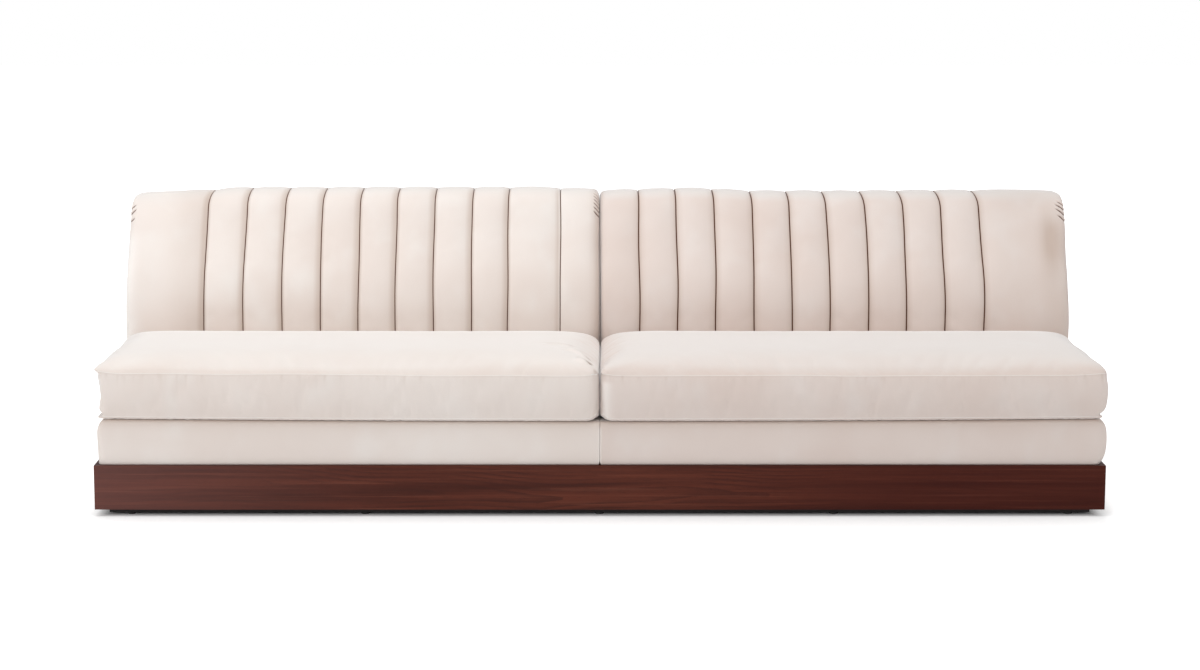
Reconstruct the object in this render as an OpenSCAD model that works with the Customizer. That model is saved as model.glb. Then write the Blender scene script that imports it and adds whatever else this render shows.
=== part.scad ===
// Armless channel-back sofa: two upholstered seat-and-back units side by side
// on one walnut plinth, with two loose seat cushions. Millimetres, +Z up,
// front towards -Y, origin on the floor under the middle of the plinth.

/* [Plinth] */
// Length of the walnut plinth, which is the length of the sofa
plinth_w = 2800; // [2400:10:3200]
// Depth of the walnut plinth from front to back
plinth_d = 930; // [900:5:980]
// Height of the plinth rails
plinth_rail_h = 124; // [100:1:160]
// Thickness of the plinth rails
plinth_rail_t = 22; // [18:1:28]
// Height of the dark gap between the plinth and the floor
toe_gap = 20; // [14:1:40]
// How far the toe kick stands behind the plinth's front and back
toe_setback = 35; // [30:1:60]
// Thickness of the toe kick boards
toe_t = 18; // [15:1:22]
// Height of the toe kick boards, most of it hidden inside the plinth
toe_board_h = 50; // [40:1:60]
// Height of the glides that carry the sofa
glide_h = 5; // [4:0.5:8]
// Diameter of a glide
glide_dia = 25; // [20:1:30]
// Number of glides along the front and along the back
glide_count = 5; // [4:1:7]

/* [Seat units] */
// Height of an upholstered seat deck above the plinth
deck_h = 127; // [110:1:150]
// Radius of the deck's soft top edge
deck_edge_r = 22; // [14:1:24]
// How far the deck's cover is drawn in along its foot
deck_tuck = 14; // [6:1:17]
// Space between the two decks
deck_gap = 1; // [0.6:0.1:3]
// Thickness of padding between the deck's cover and its frame
deck_wrap = 22; // [20:1:28]
// Thickness of the plywood frames
ply_t = 21; // [18:1:24]
// Height of the rails in the seat frame
seat_rail_h = 84; // [74:1:90]
// Width of a strap of elastic webbing
strap_w = 70; // [50:5:80]
// Thickness of a strap of elastic webbing
strap_t = 3; // [2:0.5:4]
// Straps from front to back in one seat unit
strap_count = 9; // [6:1:10]
// Diameter of the bolts that hold a seat unit on the plinth
bolt_dia = 8; // [6:1:10]

/* [Back units] */
// Height of the top of the backs above the floor
back_top_z = 812; // [760:1:860]
// Depth of the flat top of the back, behind its roll
back_top_flat = 57; // [50:1:70]
// Rake of the back's face from the vertical, in degrees
back_rake = 33; // [24:1:35]
// Height of the upright foot of the back's face above the deck
back_foot_h = 206; // [180:1:230]
// Radius of the bend from the upright foot into the raked face
bend_r = 250; // [180:10:320]
// Radius of the roll along the top of the back
roll_r = 110; // [80:1:120]
// Radius of the rounded ends of the back
end_r = 42; // [30:1:50]
// Distance between the seams of the channels
channel_pitch = 114; // [100:1:125]
// How far a channel swells out between its seams
channel_crown = 14; // [6:1:16]
// Width of the plain panel at the left back's outer end
left_end_panel = 232; // [200:1:280]
// Narrow channels beside the left back's end panel
left_channels = 8; // [5:1:9]
// Place of the joint between the two backs, right of the middle
back_joint_x = 9; // [-20:1:20]
// Space between the two backs
back_gap = 1; // [0.6:0.1:3]
// Thickness of the quilted cover and its backing behind a seam
quilt_t = 18; // [14:1:24]
// Thickness of the quilted cover at the two ends of a back
side_quilt_t = 19; // [16:1:24]
// Thickness of the foam slab in front of the back frame
back_foam_t = 60; // [40:1:80]
// Thickness of the upholstered panel that closes the rear
rear_panel_t = 9; // [6:1:12]

/* [Seat cushions] */
// Thickness of a seat cushion between its two seams
cushion_box_h = 119; // [100:1:130]
// Height of the crown above the upper seam
cushion_crown = 38; // [25:1:50]
// Height of the tuck below the lower seam
cushion_tuck_h = 8; // [6:1:12]
// How far the boxing swells out between the seams
cushion_bulge = 7; // [3:1:10]
// Room between a seat cushion and the channels behind it
cushion_rear_gap = 5; // [3:1:12]
// Space between the two seat cushions
cushion_gap = 2; // [1:0.5:6]
// Radius of a seat cushion's corners seen from above
cushion_corner_r = 26; // [20:1:40]
// Distance from the seam to the foam core inside
core_inset = 26; // [22:1:40]

/* [Hidden] */

// Heights
plinth_z = toe_gap;
plinth_top = plinth_z + plinth_rail_h;
toe_top = glide_h + toe_board_h;
under_t = 2;
frame_z = plinth_top + under_t;
seat_rail_top = frame_z + seat_rail_h;
deck_top = plinth_top + deck_h;
strap_top = seat_rail_top + strap_t;
deck_fibre_t = 9;
pad_top = deck_top - deck_fibre_t;
back_z = deck_top;

// Depths are written from the plinth's front and moved back by half its depth
front_y = -plinth_d / 2;
deck_front = 2;
frame_front = deck_front + deck_wrap;
back_rear = plinth_d - 4;
panel_front = back_rear - rear_panel_t;
frame_rear = panel_front;

// Widths, written for a right-hand unit and mirrored for the left
unit_end = plinth_w / 2;
unit_start = deck_gap / 2;
frame_end = unit_end - max(deck_wrap, side_quilt_t);
frame_start = abs(back_joint_x) + back_gap / 2 + side_quilt_t;
mid_frame_count = 2;
bay = (frame_end - frame_start - ply_t) / (mid_frame_count + 1);

// Clearances
fit = 0.3;
bolt_fit = 0.2;
// Room between sloping faces, so that rounded coordinates never make them overlap
slope_fit = 0.02;

// The back's profile: an upright foot, a bend, a raked face, a roll and a flat top
// The flat top's place fixes the rest, from the rear forward to the foot of the face
rear_edge_r = 24;
foot_top = deck_top + back_foot_h;
bend_z = foot_top + bend_r * sin(back_rake);
roll_z = back_top_z - roll_r * (1 - sin(back_rake));
top_y = panel_front - rear_edge_r - back_top_flat;
roll_y = top_y - roll_r * cos(back_rake);
bend_y = roll_y - (roll_z - bend_z) * tan(back_rake);
back_face_y = bend_y - bend_r * (1 - cos(back_rake));
cushion_d = back_face_y - channel_crown - cushion_rear_gap;
bend_steps = 3;
roll_steps = 5;

// Points and outward normals along the face, each [depth, height, normal angle]
face_path = concat(
    [[back_face_y, back_z + fit, 0], [back_face_y, (back_z + foot_top) / 2, 0]],
    [for (i = [0:bend_steps]) let (a = back_rake * i / bend_steps)
        [back_face_y + bend_r * (1 - cos(a)), foot_top + bend_r * sin(a), a]],
    [[(bend_y + roll_y) / 2, (bend_z + roll_z) / 2, back_rake]],
    [for (i = [0:roll_steps]) let (a = back_rake + (90 - back_rake) * i / roll_steps)
        [roll_y + roll_r * (cos(back_rake) - cos(a)),
         roll_z + roll_r * (sin(a) - sin(back_rake)), a]],
    [for (i = [0:2]) let (a = 90 + 45 * i)
        [panel_front - rear_edge_r * (1 + cos(a)), back_top_z - rear_edge_r * (1 - sin(a)), a]]
);
roll_end = len(face_path) - 4;

// Height of the soft swell along the path: full on the face, gone at the rear seam
function swell_along(k) =
    let (last = len(face_path) - 1, fade = 4)
    k > last - fade ? (last - k) / fade : 1;

// The profile set back by a distance, closed along the rear and the foot
function back_outline(inset, rear_y, foot_z) = concat(
    [for (k = [1:roll_end]) let (p = face_path[k])
        [p[0] + inset * cos(p[2]), p[1] - inset * sin(p[2])]],
    [[rear_y, back_top_z - inset], [rear_y, foot_z], [back_face_y + inset, foot_z]]
);

// Loft of closed rings that all have the same number of points
module loft(rings) {
    n = len(rings[0]);
    m = len(rings);
    points = [for (ring = rings) for (p = ring) p];
    sides = [for (j = [0:m - 2]) for (i = [0:n - 1])
        let (a = j * n + i, b = j * n + (i + 1) % n, c = b + n, d = a + n)
        each [[a, c, d], [a, b, c]]];
    first_cap = [for (i = [1:n - 2]) [0, i + 1, i]];
    last_cap = [for (i = [1:n - 2]) [(m - 1) * n, (m - 1) * n + i, (m - 1) * n + i + 1]];
    polyhedron(points = points, faces = concat(sides, first_cap, last_cap));
}

// A rounded rectangle at one height: x from x0 to x1, depth from y0 to y1
function soft_ring(x0, x1, y0, y1, r, z, steps) = [
    for (q = [0:3]) for (i = [0:steps])
        let (
            a = 180 + 90 * q + 90 * i / steps,
            cx = (q == 0 || q == 3) ? x0 + r : x1 - r,
            cy = (q == 0 || q == 1) ? y0 + r : y1 - r
        )
        [cx + r * cos(a), cy + r * sin(a), z]
];

// Places its children from the plinth's front, for the right unit or mirrored
module placed(left) {
    mirror([left ? 1 : 0, 0, 0])
        translate([0, front_y, 0])
            children();
}

// Plinth

// A rail lying along X with mitred ends, its outer face on y = 0
module mitred_rail(length) {
    translate([0, 0, plinth_z])
        linear_extrude(plinth_rail_h)
            polygon([
                [-length / 2, 0],
                [length / 2, 0],
                [length / 2 - plinth_rail_t, plinth_rail_t],
                [-length / 2 + plinth_rail_t, plinth_rail_t]
            ]);
}

module plinth_front_rail() {
    color([0.30, 0.15, 0.12])
        translate([0, front_y, 0])
            mitred_rail(plinth_w);
}

module plinth_rear_rail() {
    color([0.30, 0.15, 0.12])
        rotate(180)
            translate([0, front_y, 0])
                mitred_rail(plinth_w);
}

module plinth_left_rail() {
    color([0.30, 0.15, 0.12])
        rotate(-90)
            translate([0, -plinth_w / 2, 0])
                mitred_rail(plinth_d);
}

module plinth_right_rail() {
    color([0.30, 0.15, 0.12])
        rotate(90)
            translate([0, -plinth_w / 2, 0])
                mitred_rail(plinth_d);
}

// A cross rail stands on the toe kick and butts on the front and rear rails
cross_rail_x = plinth_w / 4;
cross_rail_t = 28;

module plinth_cross_rail(x) {
    color([0.80, 0.68, 0.50])
        translate([x - cross_rail_t / 2, front_y + plinth_rail_t, toe_top])
            cube([cross_rail_t, plinth_d - 2 * plinth_rail_t, plinth_top - toe_top]);
}

module plinth_cross_rail_left() {
    plinth_cross_rail(-cross_rail_x);
}

module plinth_cross_rail_centre() {
    plinth_cross_rail(0);
}

module plinth_cross_rail_right() {
    plinth_cross_rail(cross_rail_x);
}

// Triangular plywood gussets, drilled for the bolts that hold the seat units
gusset_leg = 110;
gusset_bolt = 48;
plinth_gusset_t = 18;
seat_gusset_t = 30;

// A gusset with its right angle at the origin, drilled for one bolt
module gusset(leg, hole_x, hole_y, thickness) {
    difference() {
        linear_extrude(thickness)
            polygon([[0, 0], [leg, 0], [0, leg]]);
        translate([hole_x, hole_y, -1])
            cylinder(d = bolt_dia + 2 * bolt_fit, h = thickness + 2, $fn = 32);
    }
}

// Bolt places: x of the outer and inner bolt, y at the front and the back
bolt_x = [frame_start + ply_t + gusset_bolt, frame_end - ply_t - gusset_bolt];
bolt_y = [frame_front + ply_t + gusset_bolt, frame_rear - ply_t - gusset_bolt];

// The plinth gusset sits in a corner between an upright face at edge_x and a long rail
module plinth_gusset(edge_x, bolt_at, y_edge, y_bolt) {
    sx = sign(bolt_at - edge_x);
    sy = sign(y_bolt - y_edge);
    translate([edge_x, y_edge, plinth_top - plinth_gusset_t])
        difference() {
            linear_extrude(plinth_gusset_t)
                polygon([[0, 0], [sx * plinth_leg, 0], [0, sy * plinth_leg]]);
            translate([bolt_at - edge_x, y_bolt - y_edge, -1])
                cylinder(d = bolt_dia + 2 * bolt_fit, h = plinth_gusset_t + 2, $fn = 32);
        }
}
plinth_leg = 200;

module plinth_gussets() {
    color([0.80, 0.68, 0.50])
        for (left = [true, false])
            placed(left)
                for (j = [0, 1]) {
                    y_edge = j == 0 ? plinth_rail_t : plinth_d - plinth_rail_t;
                    plinth_gusset(cross_rail_t / 2, bolt_x[0], y_edge, bolt_y[j]);
                    plinth_gusset(plinth_w / 2 - plinth_rail_t, bolt_x[1], y_edge, bolt_y[j]);
                }
}

// Toe kick: a black frame under the cross rails, set back from the plinth all round
toe_w = plinth_w - 2 * toe_setback;
toe_d = plinth_d - 2 * toe_setback;

module toe_board(x, y, w, d) {
    translate([x, y, glide_h])
        difference() {
            cube([w, d, toe_board_h]);
            for (g = glide_places)
                translate([g[0] - x, g[1] - y, -1])
                    cylinder(d = glide_pin_dia, h = glide_pin_h + 1, $fn = 24);
        }
}

module toe_kick_front() {
    color([0.05, 0.05, 0.05])
        toe_board(-toe_w / 2, front_y + toe_setback, toe_w, toe_t);
}

module toe_kick_rear() {
    color([0.05, 0.05, 0.05])
        toe_board(-toe_w / 2, -front_y - toe_setback - toe_t, toe_w, toe_t);
}

module toe_kick_left() {
    color([0.05, 0.05, 0.05])
        toe_board(-toe_w / 2, front_y + toe_setback + toe_t, toe_t, toe_d - 2 * toe_t);
}

module toe_kick_right() {
    color([0.05, 0.05, 0.05])
        toe_board(toe_w / 2 - toe_t, front_y + toe_setback + toe_t, toe_t, toe_d - 2 * toe_t);
}

// Nylon glides, each a disc with a pin driven up into the toe kick
glide_pin_dia = 6;
glide_pin_h = 16;
glide_margin = 60;
glide_places = [
    for (j = [0, 1]) for (i = [0:glide_count - 1])
        [
            -toe_w / 2 + glide_margin + (toe_w - 2 * glide_margin) * i / (glide_count - 1),
            (j == 0 ? 1 : -1) * (front_y + toe_setback + toe_t / 2)
        ]
];

module floor_glides() {
    color([0.15, 0.15, 0.15])
        for (g = glide_places)
            translate([g[0], g[1], 0]) {
                rotate_extrude($fn = 40)
                    polygon([
                        [0, 0],
                        [glide_dia / 2 - 1, 0],
                        [glide_dia / 2, 1],
                        [glide_dia / 2, glide_h],
                        [0, glide_h]
                    ]);
                cylinder(d = glide_pin_dia - bolt_fit, h = glide_h + glide_pin_h - 1, $fn = 24);
            }
}

// Bolts through the plinth and seat gussets, each with its washer and nut
head_h = 5;
nut_h = 6;
washer_t = 1.6;
washer_dia = 3 * bolt_dia;
hex_dia = 1.9 * bolt_dia;

module unit_bolt() {
    low = plinth_top - plinth_gusset_t;
    high = frame_z + seat_gusset_t;
    translate([0, 0, low - washer_t])
        difference() {
            cylinder(d = washer_dia, h = washer_t, $fn = 40);
            translate([0, 0, -1])
                cylinder(d = bolt_dia + bolt_fit, h = washer_t + 2, $fn = 32);
        }
    translate([0, 0, low - washer_t - head_h])
        cylinder(d = hex_dia, h = head_h, $fn = 6);
    translate([0, 0, low - washer_t])
        cylinder(d = bolt_dia, h = high - low + washer_t + nut_h + 3, $fn = 32);
    translate([0, 0, high])
        difference() {
            cylinder(d = hex_dia, h = nut_h, $fn = 6);
            translate([0, 0, -1])
                cylinder(d = bolt_dia + bolt_fit, h = nut_h + 2, $fn = 32);
        }
}

module unit_bolts() {
    color([0.70, 0.70, 0.72])
        for (left = [true, false])
            placed(left)
                for (x = bolt_x) for (y = bolt_y)
                    translate([x, y, 0])
                        unit_bolt();
}

// Seat and back frames

// Profile of a plywood side frame: the seat's side and the back's raked rib in one
back_frame_inset = quilt_t + back_foam_t + strap_t + 2 * slope_fit;
mid_drop = 34;

module side_profile(seat_top) {
    rib = back_outline(back_frame_inset, frame_rear, frame_z);
    polygon(concat(
        [
            [frame_front + ply_t, frame_z],
            [frame_front + ply_t, seat_top],
            [back_face_y + back_frame_inset, seat_top]
        ],
        [for (k = [0:len(rib) - 2]) rib[k]]
    ));
}

// A side frame, open in the middle of its rib and notched for the rails
module side_frame(x, seat_top) {
    upright_sheet(x, ply_t)
        difference() {
            side_profile(seat_top);
            rib_window();
            rail_notches();
        }
}

// Turns a depth and height outline upright and gives it a thickness along X
module upright_sheet(x, thickness) {
    translate([x, 0, 0])
        rotate([90, 0, 90])
            linear_extrude(thickness)
                children();
}

// A lightening window with round corners in the raked rib
window_r = 22;
window_margin = 42;
window_low = seat_rail_top + window_margin;
window_high = bend_z + 30;
window_rear = frame_rear - window_margin;

// Depth of the rib's raked front edge at a height above the bend
function rib_edge_y(z) = bend_y + (z - bend_z) * tan(back_rake) + back_frame_inset / cos(back_rake);

module rib_window() {
    foot_y = back_face_y + back_frame_inset + window_margin;
    polygon(window_outline(foot_y, rib_edge_y(window_high) + window_margin));
}

// The window's outline: an upright front edge, then a raked one, and an upright rear edge
function window_outline(foot_y, head_y) = concat(
    window_corner([foot_y + window_r, window_low + window_r], 270, 180),
    window_corner([head_y + window_r / 2, window_high - window_r / 2], 180 - back_rake, 90, 0.5),
    window_corner([window_rear - window_r / 2, window_high - window_r / 2], 90, 0, 0.5),
    window_corner([window_rear - window_r, window_low + window_r], 0, -90)
);

function window_corner(c, a0, a1, k = 1) = [
    for (i = [0:4]) let (a = a0 + (a1 - a0) * i / 4) c + k * window_r * [cos(a), sin(a)]
];

// The web rail and the rear rail cross the side frames in half-lap joints
web_rail_setback = 26;
web_rail_y = back_face_y + web_rail_setback;
lap_z = frame_z + (seat_rail_h - mid_drop) / 2;
top_rail_setback = 11;
top_rail_z = back_top_z - quilt_t - back_foam_t - ply_t;
top_rail_y = top_y + top_rail_setback;
top_rail_w = frame_rear - top_rail_y;

module rail_notches() {
    translate([web_rail_y, lap_z])
        square([ply_t, seat_rail_h]);
    translate([frame_rear - ply_t, lap_z])
        square([ply_t + 1, seat_rail_top - lap_z]);
    translate([top_rail_y, top_rail_z])
        square([top_rail_w + 1, back_frame_inset]);
}

module unit_side_outer() {
    side_frame(frame_end - ply_t, seat_rail_top);
}

module unit_side_inner() {
    side_frame(frame_start, seat_rail_top);
}

// The middle frames are lower under the webbing, so that it can give
module unit_side_middle() {
    for (i = [1:mid_frame_count])
        side_frame(frame_xs[i], seat_rail_top - mid_drop);
}

// Places of the side frames of one unit
frame_xs = [for (i = [0:mid_frame_count + 1]) frame_start + bay * i];

module seat_rail(y) {
    translate([frame_start, y, frame_z])
        cube([frame_end - frame_start, ply_t, seat_rail_h]);
}

// A rail slotted from below for each side frame that it crosses
module lapped_rail(y) {
    difference() {
        seat_rail(y);
        for (x = frame_xs)
            translate([x - 1, y - 1, frame_z - 1])
                cube([ply_t + 2, ply_t + 2, lap_z - frame_z + 1]);
    }
}

module top_rail() {
    translate([frame_start, top_rail_y, top_rail_z])
        cube([frame_end - frame_start, top_rail_w, ply_t]);
}

module seat_gussets() {
    for (i = [0, 1]) for (j = [0, 1]) {
        edge_x = i == 0 ? frame_start + ply_t : frame_end - ply_t;
        edge_y = j == 0 ? frame_front + ply_t : frame_rear - ply_t;
        translate([edge_x, edge_y, frame_z])
            mirror([i, 0, 0])
                mirror([0, j, 0])
                    gusset(gusset_leg, gusset_bolt, gusset_bolt, seat_gusset_t);
    }
}

// Webbing: straps from the front rail to the web rail, with their ends turned down
strap_pitch = (frame_end - frame_start) / strap_count;
strap_turn = 30;

module seat_webbing() {
    y0 = frame_front;
    y1 = web_rail_y + ply_t;
    for (i = [0:strap_count - 1]) {
        x = frame_start + strap_pitch * (i + 0.5) - strap_w / 2;
        translate([x, y0 - strap_t, seat_rail_top])
            cube([strap_w, y1 - y0 + strap_t, strap_t]);
        translate([x, y0 - strap_t, seat_rail_top - strap_turn])
            cube([strap_w, strap_t, strap_turn]);
    }
}

// Back straps run from end to end: one on the upright foot and the others on the rake
raked_straps = 2;

module back_strap(y, z, rake) {
    translate([frame_start, y, z])
        rotate([-rake, 0, 0])
            translate([0, 0, -strap_w / 2])
                cube([frame_end - frame_start, strap_t, strap_w]);
}

module back_webbing() {
    run = (roll_z - bend_z) / cos(back_rake);
    inset = quilt_t + back_foam_t + slope_fit;
    back_strap(back_face_y + inset, (deck_top + foot_top) / 2, 0);
    for (i = [0:raked_straps - 1]) {
        along = strap_w / 2 + (run - strap_w) * i / (raked_straps - 1);
        back_strap(
            bend_y + inset * cos(back_rake) + along * sin(back_rake),
            bend_z - inset * sin(back_rake) + along * cos(back_rake),
            back_rake
        );
    }
}

// Deck pad: foam over the webbing, in front of the back's foam
module deck_pad() {
    translate([frame_start, frame_front, strap_top])
        cube([
            frame_end - frame_start,
            back_face_y + quilt_t - frame_front - fit,
            pad_top - strap_top
        ]);
}

// Deck cover: the padded box seen below the cushions, rounded above and tucked below
deck_ring_steps = 5;
deck_inner_tuck = 4;
deck_levels = [0, 0.12, 0.3, 0.55, 0.8];

// How far the cover stands in at a share of its upright height
function tuck_at(share, tuck) = tuck * pow(1 - share, 2.4);

deck_rings = concat(
    [for (s = deck_levels) deck_ring(tuck_at(s, 1), 0, plinth_top + s * (deck_h - deck_edge_r))],
    [for (i = [0:4]) let (a = 90 * i / 4)
        deck_ring(0, 1 - cos(a), deck_top - deck_edge_r * (1 - sin(a)))]
);

// tuck and roll are shares of deck_tuck and deck_edge_r
function deck_ring(tuck, roll, z) =
    let (
        inner_r = deck_edge_r / 4,
        corner = deck_edge_r + 2 - roll * deck_edge_r * 0.4
    )
    soft_ring(
        unit_start + tuck * deck_inner_tuck + roll * inner_r,
        unit_end - fit - tuck * deck_tuck - roll * deck_edge_r,
        deck_front + tuck * deck_tuck + roll * deck_edge_r,
        panel_front - fit,
        deck_ring_corner(corner),
        z,
        deck_ring_steps
    );

function deck_ring_corner(r) = min(r, deck_edge_r);

module deck_cover() {
    difference() {
        loft([for (k = [len(deck_rings) - 1:-1:0]) deck_rings[k]]);
        translate([frame_start, frame_front - strap_t, plinth_top + under_t])
            cube([frame_end - frame_start, plinth_d, pad_top - plinth_top - under_t]);
        translate([frame_start + ply_t, frame_front + ply_t, plinth_top - 1])
            cube([
                frame_end - frame_start - 2 * ply_t,
                frame_rear - frame_front - 2 * ply_t,
                under_t + 2
            ]);
        translate([frame_start, back_face_y + quilt_t, plinth_top + under_t])
            cube([frame_end - frame_start, plinth_d, deck_h]);
    }
}

// Dust cover: black cloth that closes the bottom of the seat frame, cut round the gussets
dust_t = 1;

module dust_cover() {
    translate([0, 0, frame_z - dust_t])
        linear_extrude(dust_t)
            difference() {
                translate([frame_start + ply_t, frame_front + ply_t])
                    square([
                        frame_end - frame_start - 2 * ply_t,
                        frame_rear - frame_front - 2 * ply_t
                    ]);
                for (x = bolt_x) for (y = bolt_y)
                    translate([x, y])
                        circle(d = bolt_dia + 2 * bolt_fit, $fn = 32);
            }
}

// Back foam: a slab that follows the profile in front of the ribs and over the top
module back_foam(left) {
    x0 = back_inner_x(left) + side_quilt_t;
    x1 = unit_end - side_quilt_t;
    upright_sheet(x0, x1 - x0)
        difference() {
            polygon(back_outline(quilt_t, frame_rear, back_z + fit));
            polygon(back_outline(quilt_t + back_foam_t, frame_rear + 1, back_z - 1));
        }
}

// Channelled back cover
channel_steps = 4;
end_steps = 4;
end_curve = 5;
inner_r = 10;

// The inner edge of a back, in the unit's own mirrored coordinates
function back_inner_x(left) = (left ? -back_joint_x : back_joint_x) + back_gap / 2;

// Seams of a back, from its inner edge outwards
function seams(left) =
    let (
        x0 = back_inner_x(left),
        wide = unit_end - x0 - left_end_panel - (left_channels + 1) * channel_pitch,
        right_channels = round((unit_end - x0 - left_end_panel) / channel_pitch - 0.15)
    )
    left
        ? concat([x0, x0 + channel_pitch],
            [for (i = [0:left_channels]) x0 + channel_pitch + wide + i * channel_pitch])
        : [for (i = [0:right_channels]) x0 + i * channel_pitch];

// Stations along X, each [x, share of the swell, set-back of the end]
function back_stations(left) =
    let (s = seams(left), n = len(s), last = s[n - 1])
    concat(
        [for (k = [0:2]) let (a = 45 * k, d = inner_r * (1 - cos(a)))
            [s[0] + d, channel_shape(d / channel_pitch), inner_r * (1 - sin(a))]],
        [for (i = [0:n - 2]) for (k = [0:channel_steps - 1])
            let (t = k / channel_steps, x = s[i] + (s[i + 1] - s[i]) * t)
            if (i > 0 || k > 0) [x, channel_shape(t), 0]],
        [for (k = [0:end_steps]) let (t = k / (end_steps + 1), span = unit_end - end_r - last)
            [last + span * t, panel_shape(t), 0]],
        [for (k = [0:end_curve]) let (a = 90 * k / end_curve)
            [unit_end - fit - end_r * (1 - sin(a)), 0, end_r * (1 - cos(a))]]
    );

// A full round between two seams, and a panel that rises once and runs flat to the end
function channel_shape(t) = pow(sin(180 * t), 0.55);
function panel_shape(t) = pow(sin(min(90, 180 * t + 1)), 0.55) * (1 - 0.75 * pow(t, 3));

// One closed section of the back at a station
function back_section(station) =
    let (last = len(face_path) - 1)
    concat(
        [for (k = [0:last])
            let (
                p = face_path[k],
                out = station[1] * channel_crown * swell_along(k) - station[2] * (1 - k / last * 0.4),
                top_only = p[2] >= 90 ? 1 : 0
            )
            [
                station[0],
                min(p[0] - out * cos(p[2]), panel_front - fit),
                p[1] + out * sin(min(p[2], 90))
            ]],
        [[station[0], panel_front - fit, back_z + fit]]
    );

module back_cover(left) {
    x0 = back_inner_x(left) + side_quilt_t;
    x1 = unit_end - side_quilt_t;
    difference() {
        loft([for (st = back_stations(left)) back_section(st)]);
        upright_sheet(x0, x1 - x0)
            polygon(back_outline(quilt_t, frame_rear + 1, back_z - 1));
    }
}

// Rear panel: a covered board from the plinth to the top of the back
module rear_panel(left) {
    x0 = back_inner_x(left) + end_r / 4;
    x1 = unit_end - end_r / 2;
    translate([x0, panel_front, frame_z])
        cube([x1 - x0, rear_panel_t, back_top_z - rear_edge_r - frame_z]);
}

// Loose seat cushions
cushion_z = deck_top;
low_seam_z = cushion_z + cushion_tuck_h;
high_seam_z = low_seam_z + cushion_box_h;
cushion_ring_steps = 7;
crown_steps = 8;
crown_reach = 0.4 * cushion_d;

// A ring of the cushion, set in from its seam line
function cushion_ring(inset, z) =
    soft_ring(
        cushion_gap / 2 + cushion_bulge + inset,
        unit_end - cushion_bulge - inset,
        cushion_bulge + inset,
        cushion_d - cushion_bulge - inset,
        max(cushion_corner_r - inset * 0.3, 4),
        z,
        cushion_ring_steps
    );

// The crown rises fast beside the seam and runs flat over the middle
function crown_at(inset) = cushion_crown * (1 - pow(1 - inset / crown_reach, 3.2));

cushion_rings = concat(
    [cushion_ring(14, cushion_z), cushion_ring(3, cushion_z + cushion_tuck_h * 0.45)],
    [for (i = [0:4]) let (t = i / 4)
        cushion_ring(-cushion_bulge * 0.9 * sin(180 * t), low_seam_z + cushion_box_h * t)],
    [for (i = [1:crown_steps]) let (inset = crown_reach * pow(i / crown_steps, 1.6))
        cushion_ring(inset, high_seam_z + crown_at(inset))]
);

core_z = cushion_z + 5;
core_top = high_seam_z + 2;

module cushion_core_box() {
    translate([core_inset, core_inset, core_z])
        cube([unit_end - 2 * core_inset, cushion_d - 2 * core_inset, core_top - core_z]);
}

module cushion_cover() {
    difference() {
        loft([for (k = [len(cushion_rings) - 1:-1:0]) cushion_rings[k]]);
        cushion_core_box();
    }
}

// Named pieces of the two units

module left_side_frame_outer() { color([0.80, 0.68, 0.50]) placed(true) unit_side_outer(); }
module right_side_frame_outer() { color([0.80, 0.68, 0.50]) placed(false) unit_side_outer(); }
module left_side_frame_middle() { color([0.80, 0.68, 0.50]) placed(true) unit_side_middle(); }
module right_side_frame_middle() { color([0.80, 0.68, 0.50]) placed(false) unit_side_middle(); }
module left_side_frame_inner() { color([0.80, 0.68, 0.50]) placed(true) unit_side_inner(); }
module right_side_frame_inner() { color([0.80, 0.68, 0.50]) placed(false) unit_side_inner(); }

module left_seat_front_rail() { color([0.82, 0.70, 0.52]) placed(true) seat_rail(frame_front); }
module right_seat_front_rail() { color([0.82, 0.70, 0.52]) placed(false) seat_rail(frame_front); }
module left_seat_web_rail() { color([0.82, 0.70, 0.52]) placed(true) lapped_rail(web_rail_y); }
module right_seat_web_rail() { color([0.82, 0.70, 0.52]) placed(false) lapped_rail(web_rail_y); }
module left_seat_rear_rail() { color([0.82, 0.70, 0.52]) placed(true) lapped_rail(frame_rear - ply_t); }
module right_seat_rear_rail() { color([0.82, 0.70, 0.52]) placed(false) lapped_rail(frame_rear - ply_t); }
module left_back_top_rail() { color([0.82, 0.70, 0.52]) placed(true) top_rail(); }
module right_back_top_rail() { color([0.82, 0.70, 0.52]) placed(false) top_rail(); }

module left_seat_gussets() { color([0.80, 0.68, 0.50]) placed(true) seat_gussets(); }
module right_seat_gussets() { color([0.80, 0.68, 0.50]) placed(false) seat_gussets(); }
module left_seat_webbing() { color([0.45, 0.35, 0.25]) placed(true) seat_webbing(); }
module right_seat_webbing() { color([0.45, 0.35, 0.25]) placed(false) seat_webbing(); }
module left_back_webbing() { color([0.45, 0.35, 0.25]) placed(true) back_webbing(); }
module right_back_webbing() { color([0.45, 0.35, 0.25]) placed(false) back_webbing(); }
module left_deck_pad() { color([0.95, 0.93, 0.80]) placed(true) deck_pad(); }
module right_deck_pad() { color([0.95, 0.93, 0.80]) placed(false) deck_pad(); }
module left_dust_cover() { color([0.10, 0.10, 0.10]) placed(true) dust_cover(); }
module right_dust_cover() { color([0.10, 0.10, 0.10]) placed(false) dust_cover(); }
module left_back_foam() { color([0.95, 0.93, 0.80]) placed(true) back_foam(true); }
module right_back_foam() { color([0.95, 0.93, 0.80]) placed(false) back_foam(false); }

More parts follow.
